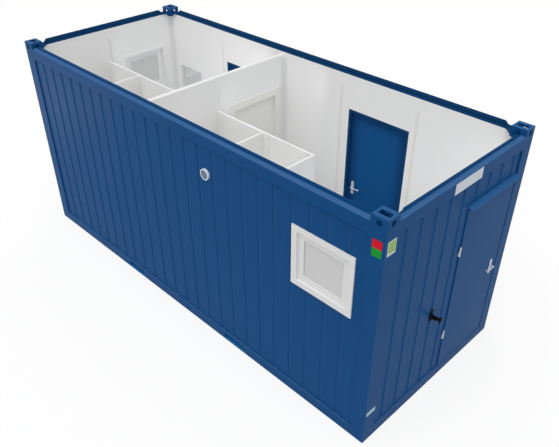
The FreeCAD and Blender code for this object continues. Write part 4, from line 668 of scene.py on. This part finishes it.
def screw_row(start, step, count, facing, radius, finish):
    turn = Vector((0, 0, 1)).rotation_difference(Vector(facing)).to_euler()
    return run_tree(screw_tree, {
        "Start": tuple(start), "Step": tuple(step), "Count": count, "Head Radius": radius,
        "Turn": tuple(turn), "Material": finishes[finish],
    })


print("screw tree:", len(screw_tree.nodes), "nodes")

# %% [markdown]
# The hinges of the steel doors are welded on and have no screws. The inner doors have screwed hinges,
# with two screws in the half on the wall and two in the half on the leaf. The first pair stays with the
# container and the second rides on its door.

# %% Hinge screws
HINGE_LEVELS = (0.642, 1.785)
HINGE_SCREW_RADIUS = 0.0042
SCREW_INSET = 0.020
HINGE_PLATE_OUT = -0.0045
PAIR_STEP = Vector((0, 0, 0.030))
WALL_PAIR_DROP, LEAF_PAIR_RISE = 0.045, 0.015
wall_screws = []
for door in inner_doors:
    leaf_screws = []
    for level in HINGE_LEVELS:
        lower = door.spot(-SCREW_INSET, HINGE_PLATE_OUT, level - WALL_PAIR_DROP)
        upper = door.spot(SCREW_INSET, HINGE_PLATE_OUT, level + LEAF_PAIR_RISE)
        wall_screws.append(screw_row(lower, PAIR_STEP, 2, door.out, HINGE_SCREW_RADIUS, "hinge_steel"))
        leaf_screws.append(screw_row(upper, PAIR_STEP, 2, door.out, HINGE_SCREW_RADIUS, "hinge_steel"))
    add_piece(f"{door.body}_hinge_screws", leaf_screws, door.body)
add_piece("wall_hinge_screws", wall_screws, "container")
print("hinge screws:", len(wall_screws) * 2, "on the walls")

# %% [markdown]
# The rain hoods over the outer doors are screwed along their upper flange, and the door holders have a
# screw at each end of their plate. Both are coated over, so they take the finish of what they hold.

# %% Hood and holder screws
HOOD_HALF_WIDTH = 0.43
HOOD_SCREWS = 7
HOOD_SCREW_RADIUS = 0.0045
HOOD_FLANGE_LEVEL = 2.314
FLANGE_OUT = -0.010
HOLDER_ALONG = -0.331
HOLDER_OUT = -0.008
HOLDER_LEVEL = 1.135
HOLDER_REACH = 0.065
HOLDER_SCREW_RADIUS = 0.006
hood_screws = []
holder_screws = []
for door in steel_doors:
    first = door.spot(LEAF_MIDDLE - HOOD_HALF_WIDTH, FLANGE_OUT, HOOD_FLANGE_LEVEL)
    step = door.leaf * (2 * HOOD_HALF_WIDTH / (HOOD_SCREWS - 1))
    hood_screws.append(screw_row(first, step, HOOD_SCREWS, door.out, HOOD_SCREW_RADIUS, "hood_coating"))
    low = door.spot(HOLDER_ALONG, HOLDER_OUT, HOLDER_LEVEL - HOLDER_REACH)
    step = (0, 0, 2 * HOLDER_REACH)
    holder_screws.append(screw_row(low, step, 2, door.out, HOLDER_SCREW_RADIUS, "black_coating"))
add_piece("hood_screws", hood_screws, "container")
add_piece("holder_screws", holder_screws, "container")
print("hoods and holders fastened:", len(hood_screws), len(holder_screws))

# %% [markdown]
# Each mirror is held by four small caps near its corners. The same tree makes them, with a larger head.

# %% Mirror caps
CAP_INSET = 0.035
CAP_RADIUS = 0.009
MIRROR_THICKNESS = 0.006
MIRROR_WIDTH, MIRROR_HEIGHT = 0.497, 0.700
MIRROR_LEVEL = 1.230
mirror_low, mirror_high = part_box("mirrors")
far_corner = Vector((mirror_low[0], mirror_high[1] - MIRROR_THICKNESS, MIRROR_LEVEL))
end_corner = Vector((mirror_high[0] - MIRROR_THICKNESS, mirror_low[1], MIRROR_LEVEL))
MIRROR_FACES = (
    (far_corner, Vector((1, 0, 0)), (0, -1, 0)),
    (end_corner, Vector((0, 1, 0)), (-1, 0, 0)),
)
caps = []
for corner, along, facing in MIRROR_FACES:
    step = along * (MIRROR_WIDTH - 2 * CAP_INSET)
    for rise in (CAP_INSET, MIRROR_HEIGHT - CAP_INSET):
        start = corner + along * CAP_INSET + Vector((0, 0, rise))
        caps.append(screw_row(start, step, 2, facing, CAP_RADIUS, "polished_chrome"))
add_piece("mirror_caps", caps, "container")
print("mirror caps:", 2 * len(caps))

# %% [markdown]
# ## Window gaskets
#
# A rubber bead seals each pane in its sash, pale grey outside and white inside, where the glazing bead
# is. It follows a rectangle with slightly rounded corners, so the tree sweeps a round section along that
# rectangle.

# %% Gasket tree
BEND_STEPS = 4
SECTION_STEPS = 8
gasket_tree, entry = new_tree("gasket", {
    "Width": "Float", "Height": "Float", "Bead": "Float", "Centre": "Vector", "Turn": "Vector",
    "Material": "Material",
})
rectangle = add_node(gasket_tree, "GeometryNodeCurvePrimitiveQuadrilateral", {}, {
    "Width": entry["Width"], "Height": entry["Height"]})
rounded = add_node(gasket_tree, "GeometryNodeFilletCurve", {"mode": "POLY"}, {
    "Curve": rectangle, "Radius": entry["Bead"], "Count": BEND_STEPS})
section = add_node(gasket_tree, "GeometryNodeCurvePrimitiveCircle", {}, {
    "Resolution": SECTION_STEPS, "Radius": entry["Bead"]})
bead = add_node(gasket_tree, "GeometryNodeCurveToMesh", {}, {"Curve": rounded, "Profile Curve": section})
facing = add_node(gasket_tree, "FunctionNodeEulerToRotation", {}, {"Euler": entry["Turn"]})
set_bead = add_node(gasket_tree, "GeometryNodeTransform", {}, {
    "Geometry": bead, "Translation": entry["Centre"], "Rotation": facing})
finish_tree(gasket_tree, set_bead, entry["Material"])
print("gasket tree:", len(gasket_tree.nodes), "nodes")

# %% [markdown]
# The size of each bead comes from the pane's own box in the frame. The outer one lies on the pane, the
# inner one covers the pane's edge, and both stand a little way out of it. They ride on the sash, so they
# tilt along.

# %% Gaskets
WINDOWS = (
    ("side_window", Vector((0, -1, 0)), (math.pi / 2, 0, 0)),
    ("end_window", Vector((-1, 0, 0)), (math.pi / 2, 0, math.pi / 2)),
)
PANE_EDGE = 0.010
BEAD_STANDS_OUT = 0.6
# Name, side of the pane, radius, how far it grows past the clear pane, finish and slot.
BEADS = (
    ("outer_gasket", 1, 0.004, 0.0, "pale_rubber", "grey_plastic"),
    ("glazing_bead", -1, 0.006, PANE_EDGE, "white_plastic", "white_plastic"),
)
for window, out, turn in WINDOWS:
    low, high = (Vector(corner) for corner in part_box(f"{window}_pane"))
    span = high - low
    wide = max(span.x, span.y) - 2 * PANE_EDGE
    tall = span.z - 2 * PANE_EDGE
    half_thick = min(span.x, span.y) / 2
    for label, side, radius, grow, finish, slot in BEADS:
        centre = (low + high) / 2 + out * side * (half_thick + radius * BEAD_STANDS_OUT)
        mesh = run_tree(gasket_tree, {
            "Width": wide - 2 * radius + 2 * grow, "Height": tall - 2 * radius + 2 * grow, "Bead": radius,
            "Centre": tuple(centre), "Turn": turn, "Material": finishes[finish],
        })
        add_piece(f"{window}_{label}", [mesh], f"{window}_sash")
print("gaskets on", len(WINDOWS), "windows")

# %% [markdown]
# ## Pipe clips
#
# The waste pipe lies on clips that stand on the floor. One clip is a flat ring round the pipe and a foot
# below it, and a line of points repeats it along the wall.

# %% Clip tree
BAND_THICKNESS = 0.0025
BAND_STEPS = 40
clip_tree, entry = new_tree("pipe_clips", {
    "Start": "Vector", "Step": "Vector", "Count": "Int", "Radius": "Float", "Band": "Float",
    "Foot": "Float", "Material": "Material",
})
ring = add_node(clip_tree, "GeometryNodeCurvePrimitiveCircle", {}, {
    "Resolution": BAND_STEPS, "Radius": entry["Radius"]})
strip = add_node(clip_tree, "GeometryNodeCurvePrimitiveQuadrilateral", {}, {
    "Width": BAND_THICKNESS, "Height": entry["Band"]})
band = add_node(clip_tree, "GeometryNodeCurveToMesh", {}, {"Curve": ring, "Profile Curve": strip})
upright = add_node(clip_tree, "GeometryNodeTransform", {}, {
    "Geometry": band, "Rotation": (0, math.pi / 2, 0)})
foot_size = add_node(clip_tree, "ShaderNodeCombineXYZ", {}, {
    "X": entry["Band"], "Y": entry["Band"], "Z": entry["Foot"]})
block = add_node(clip_tree, "GeometryNodeMeshCube", {}, {"Size": foot_size})
foot_drop = add_node(clip_tree, "ShaderNodeMath", {"operation": "MULTIPLY"}, {0: entry["Foot"], 1: -0.5})
foot_level = add_node(clip_tree, "ShaderNodeMath", {"operation": "SUBTRACT"}, {
    0: foot_drop, 1: entry["Radius"]})
foot_place = add_node(clip_tree, "ShaderNodeCombineXYZ", {}, {"Z": foot_level})
foot = add_node(clip_tree, "GeometryNodeTransform", {}, {"Geometry": block, "Translation": foot_place})
clip = add_node(clip_tree, "GeometryNodeJoinGeometry", {}, {0: upright})
clip_tree.links.new(foot, clip.node.inputs[0])
points = add_node(clip_tree, "GeometryNodeMeshLine", {"mode": "OFFSET"}, {
    "Count": entry["Count"], "Start Location": entry["Start"], "Offset": entry["Step"]})
clips = add_node(clip_tree, "GeometryNodeInstanceOnPoints", {}, {"Points": points, "Instance": clip})
finish_tree(clip_tree, clips, entry["Material"])
print("clip tree:", len(clip_tree.nodes), "nodes")

# %% [markdown]
# Four clips share the length of the pipe. The ring is a little wider than the pipe, and the foot is as
# tall as the room that is left between the pipe and the floor covering, whose level the frame gives.

# %% Pipe clips
PIPE_Y, PIPE_LEVEL = -0.985, 0.230
PIPE_RADIUS = 0.055
FIRST_CLIP_X, CLIP_STEP, CLIP_COUNT = -2.35, 0.85, 4
BAND_WIDTH = 0.028
BAND_CLEARANCE = 0.6 * BAND_THICKNESS
FLOOR_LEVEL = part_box("floor_covering")[1][2]
clip_mesh = run_tree(clip_tree, {
    "Start": (FIRST_CLIP_X, PIPE_Y, PIPE_LEVEL), "Step": (CLIP_STEP, 0, 0), "Count": CLIP_COUNT,
    "Radius": PIPE_RADIUS + BAND_CLEARANCE, "Band": BAND_WIDTH,
    "Foot": PIPE_LEVEL - PIPE_RADIUS - BAND_THICKNESS - FLOOR_LEVEL, "Material": finishes["hinge_steel"],
})
add_piece("pipe_clips", [clip_mesh], "container")
print("pipe clips:", len(clip_mesh.polygons), "faces")

# %% [markdown]
# ## Corner trims
#
# White angle strips cover the corners of the rooms where two boards meet; they are a greyer white than
# the boards, as painted shade in the corners. One strip is an L-shaped section pulled upwards, drawn from
# the corner into the room.

# %% Corner trims
TRIM_WIDTH = 0.060
TRIM_THICKNESS = 0.003
TRIM_TOP = 2.64
ROOM_END, ROOM_SIDE = HALF_LENGTH - WALL_DEPTH, HALF_WIDTH - WALL_DEPTH
partition_low, partition_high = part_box("partition_wall")
# Place of each corner in plan, and the signs of the way into the room.
CORNERS = (
    (-ROOM_END, ROOM_SIDE, 1, -1),
    (partition_low[0], ROOM_SIDE, -1, -1),
    (partition_high[0], ROOM_SIDE, 1, -1),
    (ROOM_END, ROOM_SIDE, -1, -1),
    (ROOM_END, -ROOM_SIDE, -1, 1),
)


def trim_mesh(x, y, x_sign, y_sign):
    """An angle strip in a corner; the signs say which way the room lies."""
    wide, thick = TRIM_WIDTH, TRIM_THICKNESS
    outline = ((0, 0), (wide, 0), (wide, thick), (thick, thick), (thick, wide), (0, wide))
    shape = bmesh.new()
    corners = [shape.verts.new((x + x_sign * a, y + y_sign * b, FLOOR_LEVEL)) for a, b in outline]
    foot = shape.faces.new(corners)
    pulled = bmesh.ops.extrude_face_region(shape, geom=[foot])["geom"]
    raised = [item for item in pulled if isinstance(item, bmesh.types.BMVert)]
    bmesh.ops.translate(shape, verts=raised, vec=(0, 0, TRIM_TOP - FLOOR_LEVEL))
    mesh = bpy.data.meshes.new("corner_trim")
    shape.to_mesh(mesh)
    shape.free()
    return mesh


trims = [trim_mesh(*corner) for corner in CORNERS]
add_piece("corner_trims", trims, "container", finishes["trim_shade_plastic"])
print("corner trims:", len(trims))

# %% [markdown]
# ## Flat plates
#
# Door furniture sits on a long plate with round ends, and the frame carries a few plain coloured plates.
# Both are flat outlines with some thickness. A 2D curve fills its own outline and leaves holes where a
# second loop lies inside, so it is turned into a mesh once its outline is drawn from arcs.

# %% Flat plates
CORNER_STEPS = 6
HOLE_ROUNDNESS = 0.999


def rounded_loop(width, height, radius):
    """Points of a rectangle with rounded corners, as arcs worked out from a formula."""
    points = []
    for quarter, (sx, sy) in enumerate(((1, 1), (-1, 1), (-1, -1), (1, -1))):
        centre = Vector((sx * (width / 2 - radius), sy * (height / 2 - radius)))
        for step in range(CORNER_STEPS + 1):
            angle = (quarter + step / CORNER_STEPS) * math.pi / 2
            points.append(centre + radius * Vector((math.cos(angle), math.sin(angle))))
    return points


def plate_mesh(width, height, radius, thickness, holes=()):
    """A flat plate on the XY plane, from Z 0 up; each hole is (x, y, radius)."""
    curve = bpy.data.curves.new("plate", "CURVE")
    curve.dimensions = "2D"
    curve.fill_mode = "BOTH"
    curve.extrude = thickness / 2
    loops = [rounded_loop(width, height, radius)]
    for x, y, hole_radius in holes:
        loop = rounded_loop(2 * hole_radius, 2 * hole_radius, hole_radius * HOLE_ROUNDNESS)
        loops.append([Vector((x, y)) + point for point in loop])
    for loop in loops:
        spline = curve.splines.new("POLY")
        spline.points.add(len(loop) - 1)
        for point, place in zip(spline.points, loop):
            point.co = (*place, 0, 1)
        spline.use_cyclic_u = True
    holder = bpy.data.objects.new("plate", curve)
    mesh = bpy.data.meshes.new_from_object(holder)
    mesh.transform(Matrix.Translation((0, 0, thickness / 2)))
    bpy.data.objects.remove(holder)
    return mesh


def against(mesh, centre, out):
    """Stand a plate upright with its face looking outwards."""
    out = Vector(out)
    up = Vector((0, 0, 1))
    turn = Matrix((up.cross(out), up, out)).transposed().to_4x4()
    mesh.transform(Matrix.Translation(centre) @ turn)
    return mesh


print("plate helpers ready")

# %% [markdown]
# ### Door furniture plates
#
# Each lever stands on a plate with a hole for the spindle's neck and a keyhole below, on both faces of
# the leaf. The handle joints give the spindle's place. The plates and their screws ride on the door, not
# on the lever, so the lever turns in front of them.

# %% Door furniture plates
FURNITURE = {"width": 0.044, "height": 0.200, "radius": 0.0215, "thickness": 0.0030}
NECK_HOLE = (0, 0.014, 0.0112)
KEY_HOLES = ((0, -0.044, 0.0075), (0, -0.058, 0.0035))
FURNITURE_SCREW_REACH = 0.088
FURNITURE_SCREW_RADIUS = 0.0035
STEEL_DOOR_FACES = (0.0, LEAF_BACK)
PARTITION_DOOR_FACES = (-0.0095, -0.0495)
for door in (*steel_doors, partition_door):
    spindle = joint_place(f"{door.body}_handle")
    along = (spindle - door.hinge).dot(door.leaf)
    faces = PARTITION_DOOR_FACES if door is partition_door else STEEL_DOOR_FACES
    plates = []
    screws = []
    for face, out in zip(faces, (door.out, -door.out)):
        centre = door.spot(along, face, spindle.z - NECK_HOLE[1])
        plates.append(against(plate_mesh(**FURNITURE, holes=(NECK_HOLE, *KEY_HOLES)), centre, out))
        first = centre + out * FURNITURE["thickness"] - Vector((0, 0, FURNITURE_SCREW_REACH))
        step = (0, 0, 2 * FURNITURE_SCREW_REACH)
        screws.append(screw_row(first, step, 2, out, FURNITURE_SCREW_RADIUS, "satin_metal"))
    add_piece(f"{door.body}_furniture", plates, door.body, finishes["satin_metal"])
    add_piece(f"{door.body}_furniture_screws", screws, door.body)
print("furniture plates on", len(steel_doors) + 1, "doors")

# %% [markdown]
# ### Coloured plates
#
# Plain plates in red, green, lime, white and pale blue are fixed to the near corner post and the end
# rail. They are bare: only their colours and places follow the photograph.

# %% Plate colours
PLATE_COLOURS = {
    "plate_red": (0.72, 0.006, 0.024), "plate_green": (0.008, 0.33, 0.030),
    "plate_lime": (0.34, 0.56, 0.16), "plate_white": (0.72, 0.77, 0.84), "plate_pale": (0.42, 0.59, 0.74),
}
PLATE_SHADE = 0.94
for name, colour in PLATE_COLOURS.items():
    shade = [PLATE_SHADE * part for part in colour]
    pale_surface(name, shade, colour, 0.45, 12.0, 0.02, IOR=1.2)
print("plate colours:", len(PLATE_COLOURS))

# %% [markdown]
# The plates are thin sheets with small round corners. The lime one lies on a larger white one, so it
# starts where its backing ends.

# %% Coloured plates
PLATE_THICKNESS = 0.0015
PLATE_CORNER = 0.004
NEAR, END = (0, -1, 0), (1, 0, 0)
LIME_Y = -1.1285
# Name, finish, the way it faces, place along its wall, level, width and height.
PLATES = (
    ("red_plate", "plate_red", NEAR, 2.9425, 2.5305, 0.105, 0.086),
    ("green_plate", "plate_green", NEAR, 2.9425, 2.4435, 0.105, 0.086),
    ("lime_backing_plate", "plate_white", END, LIME_Y, 2.500, 0.117, 0.150),
    ("rail_plate", "plate_white", END, 0.0205, 2.656, 0.465, 0.118),
    ("post_plate", "plate_pale", END, -1.129, 0.4285, 0.138, 0.055),
)
LIME_WIDTH, LIME_HEIGHT, LIME_LEVEL = 0.098, 0.120, 2.507
for name, finish, out, run, level, width, height in PLATES:
    centre = (run, -HALF_WIDTH, level) if out == NEAR else (HALF_LENGTH, run, level)
    mesh = against(plate_mesh(width, height, PLATE_CORNER, PLATE_THICKNESS), centre, out)
    add_piece(name, [mesh], "container", finishes[finish])
lime = plate_mesh(LIME_WIDTH, LIME_HEIGHT, PLATE_CORNER, PLATE_THICKNESS / 2)
against(lime, (HALF_LENGTH + PLATE_THICKNESS, LIME_Y, LIME_LEVEL), END)
add_piece("lime_plate", [lime], "container", finishes["plate_lime"])
print("plates:", [row[0] for row in PLATES], "and the lime one on its backing")

# %% [markdown]
# ## Floor
#
# The photograph has a plain white ground. Real white paper only looks white where enough light falls on
# it, so the floor's material mixes a little white glow into what the camera sees, and still keeps a soft
# shadow. The light that bounces off it is held back, because otherwise it would wash out the blue walls.

# %% Floor
FLOOR_SIZE, FLOOR_DROP = 80.0, 0.0005
FLOOR_GLOW = 0.8
PAPER_SEEN, PAPER_BOUNCING = grey(0.95), grey(0.62)
PAPER_ROUGHNESS = 0.9


def seen_directly(finish):
    """1 for camera, mirror and glass rays, 0 for the light that bounces."""
    rays = [finish.node("ShaderNodeLightPath", output=name) for name in (
        "Is Camera Ray", "Is Glossy Ray", "Is Transmission Ray")]
    return rays[0] + rays[1] + rays[2]


bpy.ops.mesh.primitive_plane_add(size=FLOOR_SIZE, location=(0, 0, -FLOOR_DROP))
floor = bpy.context.object
floor.name = "studio_floor"
paper = Finish("white_paper")
seen = seen_directly(paper)
paper_colour = paper.mix(seen, PAPER_BOUNCING, PAPER_SEEN)
paper.shade(Base_Color=paper_colour, Roughness=PAPER_ROUGHNESS, Specular_IOR_Level=0.0)
glow = paper.node("ShaderNodeEmission", {}, {"Color": (1, 1, 1, 1), "Strength": 1.0})
surface = Channel(paper, paper.shader.outputs[0])
mixed = paper.node("ShaderNodeMixShader", {}, {0: seen * FLOOR_GLOW, 1: surface, 2: glow})
output = next(node for node in paper.tree.nodes if node.type == "OUTPUT_MATERIAL")
feed(paper.tree, output.inputs["Surface"], mixed)
floor.data.materials.append(paper.material)
print("floor:", FLOOR_SIZE, "m wide")

# %% [markdown]
# ## Sky and lamp
#
# The light is a bright, even sky with one large soft lamp, as in a photo studio, because the photograph
# shows no hard shadows. The camera sees the sky as pure white, whatever strength it has for the rest of
# the scene.

# %% Sky and lamp
SKY_STRENGTH, SKY_SEEN = 0.55, 1.0
LAMP_STRENGTH = 1.7
LAMP_SPREAD_DEG = 60
LAMP_TILT_DEG = (18, 6, 0)

world = bpy.data.worlds.new("studio_sky")
scene.world = world
world.use_nodes = True
sky = world.node_tree.nodes["Background"]
sky.inputs["Color"].default_value = (1, 1, 1, 1)
camera_ray = add_node(world.node_tree, "ShaderNodeLightPath", output="Is Camera Ray")
strength = add_node(world.node_tree, "ShaderNodeMapRange", {}, {
    "Value": camera_ray, "To Min": SKY_STRENGTH, "To Max": SKY_SEEN})
feed(world.node_tree, sky.inputs["Strength"], strength)

lamp_data = bpy.data.lights.new("soft_lamp", "SUN")
lamp_data.energy = LAMP_STRENGTH
lamp_data.angle = math.radians(LAMP_SPREAD_DEG)
lamp = bpy.data.objects.new("soft_lamp", lamp_data)
lamp.rotation_euler = [math.radians(angle) for angle in LAMP_TILT_DEG]
scene.collection.objects.link(lamp)
scene.view_settings.view_transform = "Standard"
print("sky and lamp in place")

# %% [markdown]
# ## Light panels
#
# In the photograph the rooms are as bright as the outside, so large light panels, which the camera
# doesn't see, fill them from the side. One more card stands to the left of the container. The coating
# reflects it, and so the far end of the near wall becomes paler, as it is in the photograph.

# %% Light panels
# Place, size, the way it faces and strength in watts.
FILL_PANELS = (
    ((1.00, -0.02, 1.75), (2.8, 1.6), (0, 1, 0), 3.6),
    ((2.85, 0.0, 1.70), (2.1, 1.8), (-1, 0, 0), 9.6),
    ((0.35, 0.05, 2.46), (1.9, 0.4), (-1, 0, 0), 1.2),
    ((0.36, -1.05, 1.60), (1.5, 1.6), (0, 1, 0), 3.1),
    ((1.12, -0.55, 1.70), (0.9, 1.4), (-1, 0, 0), 1.0),
    ((-1.75, 0.0, 1.80), (2.2, 1.4), (0, 1, 0), 3.0),
    ((-0.62, 0.0, 1.95), (2.0, 1.4), (-1, 0, 0), 9.8),
    ((-2.15, -1.05, 1.60), (1.5, 1.6), (0, 1, 0), 3.9),
)
GLARE_CARD = ((-5.6, -3.0, 0.4), (3.2, 2.2), (0.8, 0.4, 0.42), 19.0)


def light_panel(place, size, facing, watts, reflected):
    """A rectangle of light that the camera doesn't see; reflected says whether shiny pieces show it."""
    panel_data = bpy.data.lights.new("fill_panel", "AREA")
    panel_data.shape = "RECTANGLE"
    panel_data.size, panel_data.size_y = size
    panel_data.energy = watts
    panel = bpy.data.objects.new("fill_panel", panel_data)
    panel.location = place
    panel.rotation_euler = Vector(facing).to_track_quat("-Z", "Y").to_euler()
    panel.visible_camera = False
    panel.visible_glossy = reflected
    scene.collection.objects.link(panel)


for row in FILL_PANELS:
    light_panel(*row, reflected=False)
light_panel(*GLARE_CARD, reflected=True)
print("light panels:", len(FILL_PANELS) + 1)
